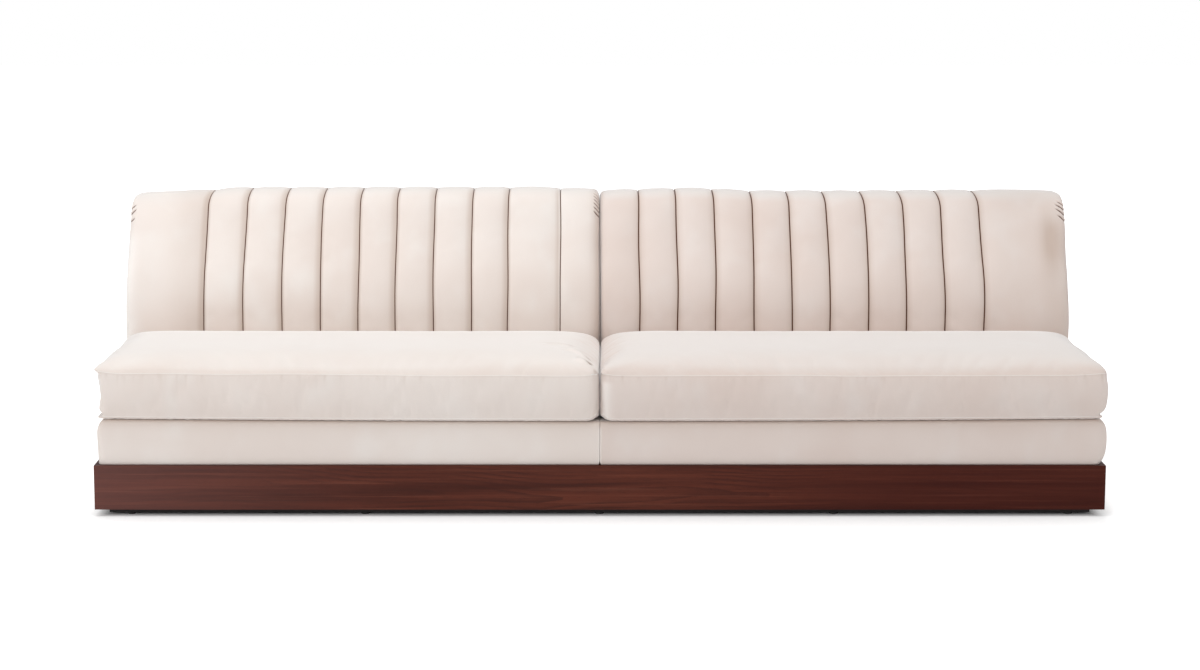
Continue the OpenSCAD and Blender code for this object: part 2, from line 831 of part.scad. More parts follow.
module left_deck_cover() { color([0.93, 0.88, 0.84]) placed(true) deck_cover(); }
module right_deck_cover() { color([0.93, 0.88, 0.84]) placed(false) deck_cover(); }
module left_back_cover() { color([0.93, 0.88, 0.84]) placed(true) back_cover(true); }
module right_back_cover() { color([0.93, 0.88, 0.84]) placed(false) back_cover(false); }
module left_rear_panel() { color([0.93, 0.88, 0.84]) placed(true) rear_panel(true); }
module right_rear_panel() { color([0.93, 0.88, 0.84]) placed(false) rear_panel(false); }
module left_cushion_cover() { color([0.93, 0.88, 0.84]) placed(true) cushion_cover(); }
module right_cushion_cover() { color([0.93, 0.88, 0.84]) placed(false) cushion_cover(); }
module left_cushion_core() { color([0.95, 0.93, 0.80]) placed(true) cushion_core_box(); }
module right_cushion_core() { color([0.95, 0.93, 0.80]) placed(false) cushion_core_box(); }

plinth_front_rail();
plinth_rear_rail();
plinth_left_rail();
plinth_right_rail();
plinth_cross_rail_left();
plinth_cross_rail_centre();
plinth_cross_rail_right();
plinth_gussets();
toe_kick_front();
toe_kick_rear();
toe_kick_left();
toe_kick_right();
floor_glides();
unit_bolts();
left_side_frame_outer();
left_side_frame_middle();
left_side_frame_inner();
left_seat_front_rail();
left_seat_web_rail();
left_seat_rear_rail();
left_back_top_rail();
left_seat_gussets();
left_seat_webbing();
left_deck_pad();
left_deck_cover();
left_dust_cover();
left_back_webbing();
left_back_foam();
left_back_cover();
left_rear_panel();
right_side_frame_outer();
right_side_frame_middle();
right_side_frame_inner();
right_seat_front_rail();
right_seat_web_rail();
right_seat_rear_rail();
right_back_top_rail();
right_seat_gussets();
right_seat_webbing();
right_deck_pad();
right_deck_cover();
right_dust_cover();
right_back_webbing();
right_back_foam();
right_back_cover();
right_rear_panel();
left_cushion_cover();
left_cushion_core();
right_cushion_cover();
right_cushion_core();
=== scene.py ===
"""Visual model of the armless channel-back sofa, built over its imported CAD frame, in metres."""
import math

import bmesh
import bpy
import numpy as np
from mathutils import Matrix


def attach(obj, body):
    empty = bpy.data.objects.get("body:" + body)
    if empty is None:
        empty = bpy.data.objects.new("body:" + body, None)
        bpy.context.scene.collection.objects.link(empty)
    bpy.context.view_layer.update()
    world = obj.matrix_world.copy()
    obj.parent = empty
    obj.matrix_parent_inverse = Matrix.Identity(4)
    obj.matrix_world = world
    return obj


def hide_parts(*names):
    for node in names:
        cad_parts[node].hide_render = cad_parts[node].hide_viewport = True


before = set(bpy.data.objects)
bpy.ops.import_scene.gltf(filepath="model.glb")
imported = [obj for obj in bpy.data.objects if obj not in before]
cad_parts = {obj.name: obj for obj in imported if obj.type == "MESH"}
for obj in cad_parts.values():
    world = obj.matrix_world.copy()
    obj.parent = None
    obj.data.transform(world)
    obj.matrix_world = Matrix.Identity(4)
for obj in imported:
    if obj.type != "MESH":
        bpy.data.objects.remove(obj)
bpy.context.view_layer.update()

LEFT, RIGHT = -1, 1
SIDE_NAME = {LEFT: "left", RIGHT: "right"}

# Plinth, and heights above the floor
HALF_W = 1.400
FRONT_Y = -0.465
PLINTH_TOP = 0.144
DECK_TOP = 0.271
BACK_TOP = 0.819

# Outer ends of the cushions and backs
OUTER_X = HALF_W - 0.001

# Back profile, written as depths from the plinth's front
RAKE = math.radians(33)
FACE_D = 0.6068
FOOT_TOP = 0.477
BEND_R = 0.250
ROLL_R = 0.110
REAR_R = 0.024
REAR_D = 0.917
CHANNEL_CROWN = 0.0115

# Rounding of the backs' outer ends, of their top outer corners and of their inner ends
END_R = 0.012
TOP_CORNER_R = {LEFT: 0.013, RIGHT: 0.009}
INNER_R = 0.010

# The backs meet a little right of the middle, half a gap each from this plane
BACK_JOINT_X = 0.009
BACK_HALF_GAP = 0.0008

# Channel seams measured on the photograph, in metres from the middle
SEAMS = {LEFT: [-1.1675, -1.051, -0.936, -0.8225, -0.710, -0.5995, -0.487, -0.374, -0.266, -0.110],
         RIGHT: [0.126, 0.2385, 0.352, 0.466, 0.5785, 0.6905, 0.805, 0.918, 1.032, 1.148]}

# The seams lean inwards by this share of their place on the way to the top, and more over the roll
SEAM_LEAN = 0.001
SEAM_TURN = 0.006
SEAM_WANDER = 0.0018

# The end panels stand outwards at the foot; further up by a size, between two lengths along the profile
FOOT_PUSH = {LEFT: 0.0030, RIGHT: 0.0060}
END_PUSH = {LEFT: (0.0030, 0.50, 0.56), RIGHT: (0.0065, 0.36, 0.50)}

# Pleats at the top corners: place along the back's profile at the end seam, and length
OUTER_PLEATS = {LEFT: ((0.502, 0.014), (0.530, 0.021), (0.551, 0.018)),
                RIGHT: ((0.500, 0.026), (0.521, 0.031), (0.539, 0.030), (0.556, 0.022))}
INNER_PLEATS = tuple((0.516 + 0.0145 * k, 0.020) for k in range(6))
PLEAT_PITCH = 0.018

# Seat cushions
CUSHION_INNER_X = 0.0025
CUSHION_FRONT_Y = FRONT_Y - 0.003
CUSHION_REAR_Y = FRONT_Y + 0.5838
CUSHION_LOW = 0.279
CUSHION_HIGH = 0.398
CUSHION_CROWN = 0.052
CROWN_REACH = 0.235
GAP_SLANT = 0.008
SHOULDER_RISE = 0.025
SHOULDER_REACH = 0.055
CORNER_R = 0.026
BOXING_MID_Z = 0.33
DOG_EAR = {LEFT: 0.009, RIGHT: 0.004}

# Share of the crown that a cushion has before the simulation fills it
START_CROWN = 0.32

# Folds at the left cushion's inner front corner: start, bend and end as distances across and deep from the
# corner, and the depth pressed in; then how far across and deep the mesh is made finer for them
CORNER_FOLDS = (((0.003, 0.008), (0.010, 0.016), (0.022, 0.014), 0.0024),
                ((0.018, 0.034), (0.032, 0.070), (0.066, 0.084), 0.0052),
                ((0.020, 0.100), (0.048, 0.162), (0.098, 0.180), 0.0056),
                ((0.060, 0.225), (0.110, 0.250), (0.170, 0.235), 0.0024))
FOLDS_ACROSS, FOLDS_DEEP = 0.21, 0.27
FOLD_SHADE_DEPTH = 0.0045

# Decks: inner ends, how far the outer ends lie within the plinth's, plan corners and rolls of the top edges
DECK_INNER_X = 0.00015
DECK_SET_IN = {LEFT: 0.0065, RIGHT: 0.0006}
DECK_CORNERS = {LEFT: [0.022, 0.0015, 0.01, 0.022], RIGHT: [0.0015, 0.022, 0.022, 0.01]}
DECK_END_ROLL = {LEFT: 0.040, RIGHT: 0.032}
DECK_FRONT_ROLL = 0.013

# Rear covers: their foot, thickness, and distance from the backs' joint and outer ends
REAR_FOOT_Z = 0.1462
REAR_THICK = 0.008
REAR_IN, REAR_OUT = 0.0105, 0.021

# Spacing of the meshes: within a run, at its ends, and the reach over which it grows
CUSHION_CELLS, BOXING_CELLS = (0.0125, 0.005, 0.03), (0.0105, 0.007, 0.02)
CHANNEL_CELLS, FACE_CELLS, OVER_CELLS = (0.0135, 0.007, 0.02), (0.014, 0.010, 0.05), (0.009, 0.007, 0.02)
DECK_CELLS, DECK_HIGH_CELLS = (0.016, 0.004, 0.03), (0.010, 0.004, 0.02)
REAR_CELLS = (0.018, 0.003, 0.03)

# Frames of each cloth simulation
SIM_FRAMES = 20


# Mesh helpers

def make_active(piece):
    bpy.ops.object.select_all(action="DESELECT")
    piece.select_set(True)
    bpy.context.view_layer.objects.active = piece


def vectors_of(piece, name):
    flat = np.empty(len(piece.data.vertices) * 3)
    piece.data.vertices.foreach_get(name, flat)
    return flat.reshape(-1, 3)


def points_of(piece):
    return vectors_of(piece, "co")


def normals_of(piece):
    return vectors_of(piece, "normal")


def move_points(piece, points):
    piece.data.vertices.foreach_set("co", points.ravel())
    piece.data.update()


def graded(start, end, cell, fine, reach):
    """Places from start to end whose spacing grows from fine at both ends to cell."""
    walk = np.linspace(0, end - start, 4001)
    near = np.minimum(walk, end - start - walk)
    share = np.cumsum(1 / (fine + (cell - fine) * np.minimum(near / reach, 1)))
    share -= share[0]
    count = max(2, round(share[-1] * walk[1]))
    return start + np.interp(np.linspace(0, share[-1], count + 1), share, walk)


def new_block(name, *places):
    """A cube cut into a grid for places on its three axes, the index of each vertex in it, and its cells."""
    cells = [len(row) - 1 for row in places]
    bpy.ops.mesh.primitive_cube_add(size=1, location=(0, 0, 0))
    piece = bpy.context.object
    piece.name = piece.data.name = name
    bpy.ops.object.mode_set(mode="EDIT")
    bpy.ops.mesh.select_mode(type="EDGE")
    for axis, count in enumerate(cells):
        grid = bmesh.from_edit_mesh(piece.data)
        for edge in grid.edges:
            a, b = edge.verts
            edge.select_set(abs(a.co[axis] - b.co[axis]) > 0.5)
        bmesh.update_edit_mesh(piece.data)
        bpy.ops.mesh.subdivide_edgering(number_cuts=count - 1, interpolation="LINEAR")
        bpy.ops.mesh.select_all(action="DESELECT")
    bpy.ops.object.mode_set(mode="OBJECT")
    index = np.rint((points_of(piece) + 0.5) * np.array(cells)).astype(int)
    return piece, index, cells


def apply_modifier(piece, modifier):
    make_active(piece)
    bpy.ops.object.modifier_apply(modifier=modifier.name)


def subdivide_smooth(piece):
    modifier = piece.modifiers.new("rounds", "SUBSURF")
    modifier.levels = modifier.render_levels = 1
    modifier.boundary_smooth = "PRESERVE_CORNERS"
    apply_modifier(piece, modifier)


def store(piece, name, values):
    """Keeps one number per vertex, which later subdivisions carry along."""
    layer = piece.data.attributes.get(name)
    if layer is None:
        layer = piece.data.attributes.new(name, "FLOAT", "POINT")
    layer.data.foreach_set("value", np.asarray(values, dtype=np.float32))


def deepen(piece, name, values):
    """Raises the stored numbers to these where these are larger."""
    store(piece, name, np.maximum(stored(piece, name), values))


def stored(piece, name):
    values = np.empty(len(piece.data.vertices), dtype=np.float32)
    piece.data.attributes[name].data.foreach_get("value", values)
    return values.astype(float)


def mark_seam_edges(piece, line):
    """Marks the edges whose two ends have the same line number above zero."""
    pairs = np.empty(len(piece.data.edges) * 2, dtype=np.int64)
    piece.data.edges.foreach_get("vertices", pairs)
    a, b = line[pairs[::2]], line[pairs[1::2]]
    piece.data.edges.foreach_set("use_seam", (a > 0) & (a == b))


def select_in_edit(piece, kind, wanted):
    """Goes into edit mode with the wanted edges or faces selected."""
    make_active(piece)
    bpy.ops.object.mode_set(mode="EDIT")
    bpy.ops.mesh.select_mode(type=kind)
    cloth = bmesh.from_edit_mesh(piece.data)
    for part in cloth.edges if kind == "EDGE" else cloth.faces:
        part.select_set(wanted(part))
    bmesh.update_edit_mesh(piece.data)


def leave_edit():
    bpy.ops.mesh.select_all(action="DESELECT")
    bpy.ops.object.mode_set(mode="OBJECT")


def sew_seams(piece, chosen, width, depth, tone):
    """Widens the marked edges between chosen vertices into a line of stitched cloth.

    The line is sunk by the depth, or raised where that is below zero, and the tone is its painted light:
    above zero a painted shade, below zero a painted highlight.
    """
    select_in_edit(piece, "EDGE", lambda edge: edge.seam and all(chosen[v.index] for v in edge.verts))
    bpy.ops.mesh.bevel(offset=width / 2, offset_type="OFFSET", segments=2, profile=0.5, clamp_overlap=False)
    cloth = bmesh.from_edit_mesh(piece.data)
    cloth.normal_update()
    crease = cloth.verts.layers.float.get("crease") or cloth.verts.layers.float.new("crease")
    moves = [(v, v.normal.copy()) for v in cloth.verts
             if v.link_faces and all(f.select for f in v.link_faces)]
    for vert, normal in moves:
        vert.co -= normal * depth
        vert[crease] = tone
    bmesh.update_edit_mesh(piece.data)
    leave_edit()


def refine(piece, chosen, cuts):
    """Cuts the faces between the chosen vertices into smaller ones."""
    select_in_edit(piece, "FACE", lambda face: all(chosen[v.index] for v in face.verts))
    bpy.ops.mesh.subdivide(number_cuts=cuts, smoothness=0)
    leave_edit()


def inflate(piece, held, pressure, stretch, cap):
    """Cloth simulation of a padded cover: held vertices stay, the rest swells by less than cap."""
    before = points_of(piece)
    group = piece.vertex_groups.new(name="sewn")
    group.add([int(i) for i in np.flatnonzero(held)], 1.0, "REPLACE")
    cloth = piece.modifiers.new("padding", "CLOTH")
    settings = cloth.settings
    settings.quality = 6
    settings.mass = 0.35
    settings.air_damping = 2.0
    settings.tension_stiffness = settings.compression_stiffness = 18
    settings.shear_stiffness = 6
    settings.bending_stiffness = 0.8
    settings.vertex_group_mass = "sewn"
    settings.use_pressure = True
    settings.uniform_pressure_force = pressure
    settings.shrink_min = settings.shrink_max = -stretch
    settings.effector_weights.gravity = 0
    cloth.collision_settings.use_collision = False
    scene = bpy.context.scene
    cloth.point_cache.frame_start, cloth.point_cache.frame_end = 1, SIM_FRAMES
    for step in range(1, SIM_FRAMES + 1):
        scene.frame_set(step)
    apply_modifier(piece, cloth)
    scene.frame_set(1)
    piece.vertex_groups.clear()
    shift = points_of(piece) - before
    length = np.linalg.norm(shift, axis=1, keepdims=True)
    shift *= np.tanh(length / cap) * cap / np.maximum(length, 1e-9)
    move_points(piece, before + shift)


def finish_piece(piece, material, body, slot, *replaced):
    piece.data.materials.append(material)
    piece.data.polygons.foreach_set("use_smooth", [True] * len(piece.data.polygons))
    piece.data.update()
    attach(piece, body)
    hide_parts(*replaced)


# Smooth shapes in numbers

def bump(value, centre, width):
    return np.exp(-((value - centre) / width) ** 2)


def ease(value, start, end):
    t = np.clip((value - start) / (end - start), 0, 1)
    return t * t * (3 - 2 * t)


def wander(value, seed, pitch):
    """A slow wave without a visible period, between about -1 and 1."""
    a = np.sin(value * 2 * math.pi / pitch + seed * 1.7)
    b = np.sin(value * 2 * math.pi / (pitch * 0.61) + seed * 4.1)
    c = np.sin(value * 2 * math.pi / (pitch * 2.3) + seed * 2.9)
    return 0.45 * a + 0.3 * b + 0.35 * c


def round_plan(x, y, x0, x1, y0, y1, radii):
    """Rounds the corners of a plan rectangle; radii run front-left, front-right, rear-right, rear-left."""
    x, y = x.copy(), y.copy()
    corners = [(x0, y0, 1, 1), (x1, y0, -1, 1), (x1, y1, -1, -1), (x0, y1, 1, -1)]
    for (cx, cy, sx, sy), r in zip(corners, radii):
        a = 1 - (x - cx) * sx / r
        b = 1 - (y - cy) * sy / r
        inside = (a > 0) & (b > 0)
        a2, b2 = a[inside], b[inside]
        x[inside] = cx + sx * r * (1 - a2 * np.sqrt(np.clip(1 - b2 * b2 / 2, 0, 1)))
        y[inside] = cy + sy * r * (1 - b2 * np.sqrt(np.clip(1 - a2 * a2 / 2, 0, 1)))
    return x, y


# Seat cushions

def front_sag(x, y):
    """The line between decks and cushions hangs lower toward the middle of the front."""
    return (0.0030 - 0.0070 * (1 - (x / HALF_W) ** 2)) * (1 - ease(y, FRONT_Y, FRONT_Y + 0.30))


def cushion_top(side, from_out, from_front, near_x, near_y):
    """Height over the upper seam: a steep shoulder beside it and a wide crown between."""
    rise, shoulder = np.ones(len(near_x)), np.ones(len(near_x))
    for near in (near_x, near_y):
        rise *= 1 - (1 - np.clip(near / CROWN_REACH, 0, 1)) ** 3.2
        shoulder *= np.sqrt(1 - (1 - np.clip(near / SHOULDER_REACH, 0, 1)) ** 2)
    if side == LEFT:
        shoulder *= 1 - 0.45 * bump(from_out, 0, 0.09) * bump(from_front, 0, 0.10)
    start = START_CROWN
    return (CUSHION_CROWN - SHOULDER_RISE) * start * rise + SHOULDER_RISE * shoulder


def upper_lift(side, x, from_out, from_in, from_front):
    """Lift of the upper seam: dog-ears at the front corners, a rise toward the outer end, a small sag."""
    front = bump(from_front, 0, 0.10)
    lift = DOG_EAR[side] * bump(from_out, 0, 0.05) * front + 0.002 * bump(from_out, 0, 0.30) * front
    lift += 0.0055 * bump(from_out, 0, 0.09) * bump(from_front, 0.22, 0.12)
    if side == LEFT:
        lift += 0.0042 * (1 - ease(from_out, 0.40, 1.20)) * front
    lift += 0.005 * bump(from_in, 0, 0.03) * front
    lift -= 0.0015 * (1 + wander(x, 2 + side, 0.5)) * bump(from_front, 0, 0.05)
    return lift


def boxing_stand(side, share):
    """How far the boxing stands out at a share of its height: at the outer end, and at the front and rear."""
    belly = np.sin(math.pi * share)
    under = (1 - share) ** 2
    foot = np.clip(1 - share / 0.18, 0, 1) ** 2
    if side == RIGHT:
        return 0.005 * belly - 0.003 * under - 0.018 * foot, 0.006 * belly - 0.003 * under
    slack = ease(share, 0, 0.55) * (1 - ease(share, 0.93, 1.0))
    return -0.009 * belly - 0.011 * under - 0.0125 * slack - 0.022 * foot, 0.005 * belly - 0.003 * under


def corner_folds(across, deep):
    """Height and painted shade of the corner folds: narrow valleys, each with a soft ridge beside it."""
    height, shade = np.zeros(len(across)), np.zeros(len(across))
    for start, bend, end, depth in CORNER_FOLDS:
        along = np.linspace(0, 1, 41)[:, None]
        line = (1 - along) ** 2 * start + 2 * along * (1 - along) * bend + along ** 2 * end
        way = np.gradient(line, axis=0)
        way /= np.linalg.norm(way, axis=1, keepdims=True)
        off = np.stack([across, deep], axis=1)[:, None, :] - line[None]
        nearest = np.argmin((off ** 2).sum(axis=2), axis=1)
        off, way = off[np.arange(len(across)), nearest], way[nearest]
        beside = off[:, 0] * way[:, 1] - off[:, 1] * way[:, 0]
        past = np.abs((off * way).sum(axis=1))
        run = nearest / 40
        held = ease(run, -0.1, 0.3) * (1 - ease(run, 0.5, 1.05)) * bump(past, 0, 0.008)
        width = 0.0036 + 0.0080 * np.abs(way[:, 0])
        valley = bump(beside, 0, width) * held
        height += depth * (1.5 * bump(beside, width + 0.008, 0.009) * held - valley)
        shade += valley * depth / FOLD_SHADE_DEPTH
    return height, np.clip(shade, 0, 1)


def seat_cushion(side, material):
    inner, outer = side * CUSHION_INNER_X, side * OUTER_X
    x0, x1 = sorted((inner, outer))
    y0, y1 = CUSHION_FRONT_Y, CUSHION_REAR_Y
    xs, ys = graded(x0, x1, *CUSHION_CELLS), graded(y0, y1, *CUSHION_CELLS)
    zs = graded(CUSHION_LOW, CUSHION_HIGH, *BOXING_CELLS)
    piece, at, cells = new_block(SIDE_NAME[side] + "_seat_cushion", xs, ys, zs)
    top, bottom = at[:, 2] == cells[2], at[:, 2] == 0
    rim = (at[:, 0] == 0) | (at[:, 0] == cells[0]) | (at[:, 1] == 0) | (at[:, 1] == cells[1])
    x, y, z = xs[at[:, 0]], ys[at[:, 1]], zs[at[:, 2]]
    share = np.clip((z - CUSHION_LOW) / (CUSHION_HIGH - CUSHION_LOW), 0, 1)
    from_out, from_in, from_front = np.abs(x - outer), np.abs(x - inner), y - y0
    near_x, near_y = np.minimum(x - x0, x1 - x), np.minimum(y - y0, y1 - y)
    near = np.minimum(near_x, near_y)

    # Crown over the top, a shallow tuck under the lower seam, and the run of both seams
    z = z + np.where(top, cushion_top(side, from_out, from_front, near_x, near_y), 0)
    z -= np.where(bottom, (CUSHION_LOW - DECK_TOP - 0.0004) * ease(near, 0, 0.014), 0)
    z += upper_lift(side, x, from_out, from_in, from_front) * share ** 2
    lower_lift = 0.013 * bump(from_in, 0, 0.016) * bump(from_front, 0, 0.03)
    lower_lift += 0.0015 * bump(from_out, 0, 0.016) * bump(from_front, 0, 0.12)
    z += lower_lift * (1 - share) ** 2 + front_sag(x, y) * (1 - share)

    # Plan corners, then the boxing's belly and its pull between the corners
    x, y = round_plan(x, y, x0, x1, y0, y1, [CORNER_R] * 4)
    mid_x, mid_y = (x0 + x1) / 2, (y0 + y1) / 2
    to_x, to_y = np.sign(x - mid_x), np.sign(y - mid_y)
    on_x = np.clip(1 - near_x / CORNER_R, 0, 1) * rim
    on_y = np.clip(1 - near_y / CORNER_R, 0, 1) * rim
    outer_side = to_x == side
    end_stand, front_stand = boxing_stand(side, share)
    x += to_x * on_x * np.where(outer_side, end_stand, 0)
    y += to_y * on_y * front_stand
    x -= to_x * on_x * outer_side * 0.003 * (1 - (np.abs(y - mid_y) / (y1 - y0) * 2) ** 4)
    x += GAP_SLANT * ease(np.abs(x), OUTER_X, 0.1) * ease(y, y0, y1)
    y -= to_y * on_y * 0.003 * (1 - (np.abs(x - mid_x) / (x1 - x0) * 2) ** 8)
    move_points(piece, np.stack([x, y, z], axis=1))
    store(piece, "seam_gap", np.where(top, near, np.minimum(z - CUSHION_LOW, CUSHION_HIGH - z)))
    store(piece, "seam_shade", painted_cushion_shade(side, top, from_in, near_y))

    seam_line = np.where(rim & top, 1, np.where(rim & bottom, 2, 0))
    mark_seam_edges(piece, seam_line)
    inflate(piece, held=(seam_line > 0) | bottom, pressure=4.0, stretch=0.006, cap=0.020)
    subdivide_smooth(piece)
    pucker_seams(piece, depth=0.0018, pitch=0.024, reach=0.016)
    if side == LEFT:
        fold_corner(piece, x1, y0)
    everywhere = np.ones(len(piece.data.vertices), bool)
    # The raised seam round the cushion carries a painted highlight
    sew_seams(piece, everywhere, width=0.0030, depth=-0.0008, tone=-0.20)
    darken_gap(piece, inner)
    body = SIDE_NAME[side] + "_cushion"
    finish_piece(piece, material, body, "velvet", body + "_cover", body + "_core")


def fold_corner(piece, x1, y0):
    """Presses the folds into the top beside the inner front corner, and paints shade into their valleys."""
    points = points_of(piece)
    near_corner = (points[:, 0] > x1 - FOLDS_ACROSS) & (points[:, 1] < y0 + FOLDS_DEEP)
    refine(piece, near_corner & (points[:, 2] > CUSHION_HIGH), 2)
    points, up = points_of(piece), normals_of(piece)[:, 2] > 0.3
    height, shade = corner_folds(x1 - points[:, 0], points[:, 1] - y0)
    points[:, 2] += height * up
    move_points(piece, points)
    store(piece, "crease", 0.26 * shade * up)
    deepen(piece, "seam_shade", 0.95 * shade * up)


def painted_cushion_shade(side, top, from_in, near_y):
    """Painted shade over the rolled front edge, which turns from the light, and, on the left cushion, beside
    the gap.
    """
    reach = 0.018 + (0.027 * (1 - ease(from_in, 0.15, 0.80)) if side == LEFT else 0.022)
    shade = 0.24 * (1 - ease(near_y, 0.004, reach)) * top
    if side == LEFT:
        shade = np.maximum(shade, 0.30 * bump(from_in, 0, 0.030) * (near_y < 0.03))
    return shade


def darken_gap(piece, plane):
    """Paints shade on the upright cloth in the gap between the cushions, and a painted highlight on the right
    one's front inner corner.
    """
    points, upright = points_of(piece), np.abs(normals_of(piece)[:, 0])
    deep = (np.abs(points[:, 0] - plane) < 0.016) * ease(upright, 0.86, 0.99)
    crease = stored(piece, "crease")
    crease = np.where(deep > 0.05, np.maximum(crease, 0.22 * deep), crease)
    if plane > 0:
        lit = bump(points[:, 0] - plane, 0.014, 0.020) * (points[:, 1] < FRONT_Y + 0.02) * (deep < 0.05)
        lit *= 1 - ease(points[:, 2], 0.372, 0.388)
        crease = np.where(crease > -0.02, crease - 0.13 * lit, crease)
    store(piece, "crease", crease)


def pucker_seams(piece, depth, pitch, reach):
    """Small uneven gathers of the cloth beside the sewn seams, with painted shade in the hollows of the upper
    seam.
    """
    points, normals, gap = points_of(piece), normals_of(piece), np.abs(stored(piece, "seam_gap"))
    run = points[:, 0] + points[:, 1] * 0.8
    wave = wander(run, 3, pitch) * (0.55 + 0.45 * wander(run, 8, 0.31))
    out = depth * wave * np.exp(-gap / reach) * (1 - np.exp(-gap / 0.002))
    move_points(piece, points + normals * out[:, None])
    on_boxing = (np.abs(normals[:, 2]) < 0.5) * (points[:, 2] > BOXING_MID_Z)
    hollow = np.clip(-1.3 * wave, 0, 1) * np.exp(-gap / 0.012) * on_boxing
    deepen(piece, "seam_shade", 0.55 * hollow)


# Channelled backs

def back_profile():
    """Depth, height and normal angle along the back, from its foot over the top to the rear edge."""
    run = [(FACE_D, z, 0.0) for z in np.linspace(DECK_TOP + 0.0006, FOOT_TOP, 60, endpoint=False)]
    for a in np.linspace(0, RAKE, 60):
        run.append((FACE_D + BEND_R * (1 - math.cos(a)), FOOT_TOP + BEND_R * math.sin(a), a))
    bend_d, bend_z = run[-1][0], run[-1][1]
    roll_z = BACK_TOP - ROLL_R * (1 - math.sin(RAKE))
    roll_d = bend_d + (roll_z - bend_z) * math.tan(RAKE)
    for t in np.linspace(0, 1, 60)[1:]:
        run.append((bend_d + (roll_d - bend_d) * t, bend_z + (roll_z - bend_z) * t, RAKE))
    for a in np.linspace(RAKE, math.pi / 2, 80)[1:]:
        d = roll_d + ROLL_R * (math.cos(RAKE) - math.cos(a))
        run.append((d, roll_z + ROLL_R * (math.sin(a) - math.sin(RAKE)), a))
    top_d = run[-1][0]
    for t in np.linspace(0, 1, 30)[1:]:
        run.append((top_d + (REAR_D - REAR_R - top_d) * t, BACK_TOP, math.pi / 2))
    for a in np.linspace(math.pi / 2, math.pi, 30)[1:]:
        run.append((REAR_D - REAR_R * (1 + math.cos(a)), BACK_TOP - REAR_R * (1 - math.sin(a)), a))
    run = np.array(run)
    length = np.concatenate([[0], np.cumsum(np.hypot(np.diff(run[:, 0]), np.diff(run[:, 1])))])
    return length, run


PATH_LENGTH, PATH = back_profile()
PATH_END = PATH_LENGTH[-1]


def joint_plane(side):
    return BACK_JOINT_X + side * BACK_HALF_GAP


def column_places(side):
    """Places of the back's ends and seams from left to right, and of all its columns."""
    ends = sorted([joint_plane(side), side * OUTER_X] + SEAMS[side])
    places = [graded(a, b, *CHANNEL_CELLS)[1:] for a, b in zip(ends[:-1], ends[1:])]
    return np.array(ends), np.concatenate([ends[:1]] + places)


def channel_swell(x, ends, side):
    """Share of the crown across the channels: full rounds, and a flatter end panel."""
    cell = np.clip(np.searchsorted(ends, x, side="right") - 1, 0, len(ends) - 2)
    a, b = ends[cell], ends[cell + 1]
    t = np.clip((x - a) / (b - a), 0, 1)
    swell = np.sin(math.pi * t) ** 0.5
    panel = cell == (0 if side == LEFT else len(ends) - 2)
    from_seam = (1 - t if side == LEFT else t) * (b - a)
    rise = np.sin(np.clip(from_seam / 0.05, 0, 1) * math.pi / 2) ** 0.6
    return np.where(panel, rise * (1 - 0.6 * ease(from_seam, 0.06, 0.22)), swell)


def painted_back_shade(x, ends, side, from_end, from_joint, length):
    """Painted shade beside the seams, most on their outer flank, beside the left back's joint, and on the end
    panels.
    """
    seams = ends[1:-1]
    nearest = seams[np.argmin(np.abs(x[:, None] - seams[None, :]), axis=1)]
    outward = (x - nearest) * side
    if side == LEFT:
        shade = bump(outward, 0, 0.0125) * (outward >= 0) + 0.8 * bump(from_joint, 0, 0.020)
        shade += 0.30 * ease(from_end, 0.09, 0.20) * (from_end < HALF_W + seams[0])
    else:
        shade = np.where(outward >= 0, bump(outward, 0, 0.0075), 0.4 * bump(outward, 0, 0.012))
        shade += 0.75 * bump(from_end, 0.050, 0.024) * bump(length, 0.43, 0.10)
        shade += 0.34 * bump(from_end, 0.030, 0.055) * (1 - ease(length, 0.44, 0.54))
        shade += 0.12 * (from_end < HALF_W - seams[-1])
    return np.clip(shade, 0, 1)


def top_rise(side, x, from_end, from_joint):
    """How far the back's top runs above or below level, as measured on the photograph."""
    if side == LEFT:
        rise = 0.0026 * ease(from_joint, 0.04, 0.20) - 0.0155 * (1 - ease(from_end, 0.10, 0.34))
        return rise - 0.0025 * bump(from_joint, 0, 0.12)
    rise = 0.003 * ease(x, 0.70, 1.20) - 0.0085 * ease(x, 0.28, 0.50)
    rise -= 0.002 * (1 - ease(from_end, 0.235, 0.262))
    return rise - 0.0045 * bump(from_joint, 0, 0.06) - 0.0035 * (1 - ease(from_joint, 0.12, 0.26))


def swayed(side, x, z, length, from_end, from_joint):
    """Places across after the seams wander and lean and the end panel stands out."""
    free = np.clip(1 - bump(from_end, 0, 0.03) - bump(from_joint, 0, 0.03), 0, 1)
    x = x + SEAM_WANDER * free * wander(z + 0.37 * np.round(x / 0.057), 5, 0.42)
    lean = SEAM_LEAN * ease(z, 0.42, BACK_TOP) + SEAM_TURN * ease(length, 0.555, 0.64)
    x = x - lean * x * (1 - ease(np.abs(x), 1.20, 1.385))
    at_end = bump(from_end, 0, 0.04)
    size, start, full = END_PUSH[side]
    x = x + side * FOOT_PUSH[side] * at_end * (1 - ease(length, 0.16, 0.30))
    return x + side * size * ease(length, start, full) * at_end * (1 - ease(length, 0.62, 0.72))


def fill_ends(at, cells, edge, values):
    """Sets the values inside the two flat ends from those on the four edges round each of them."""
    number = {tuple(at[n]): n for n in np.flatnonzero(edge)}
    for n in np.flatnonzero(~edge):
        i, j, k = at[n]
        u, w = j / cells[1], k / cells[2]
        front, rear = values[number[i, 0, k]], values[number[i, cells[1], k]]
        foot, top = values[number[i, j, 0]], values[number[i, j, cells[2]]]
        corners = [values[number[i, p, q]] for p in (0, cells[1]) for q in (0, cells[2])]
        flat = (1 - u) * front + u * rear + (1 - w) * foot + w * top
        flat -= (1 - u) * (1 - w) * corners[0] + (1 - u) * w * corners[1]
        values[n] = flat - (u * (1 - w) * corners[2] + u * w * corners[3])


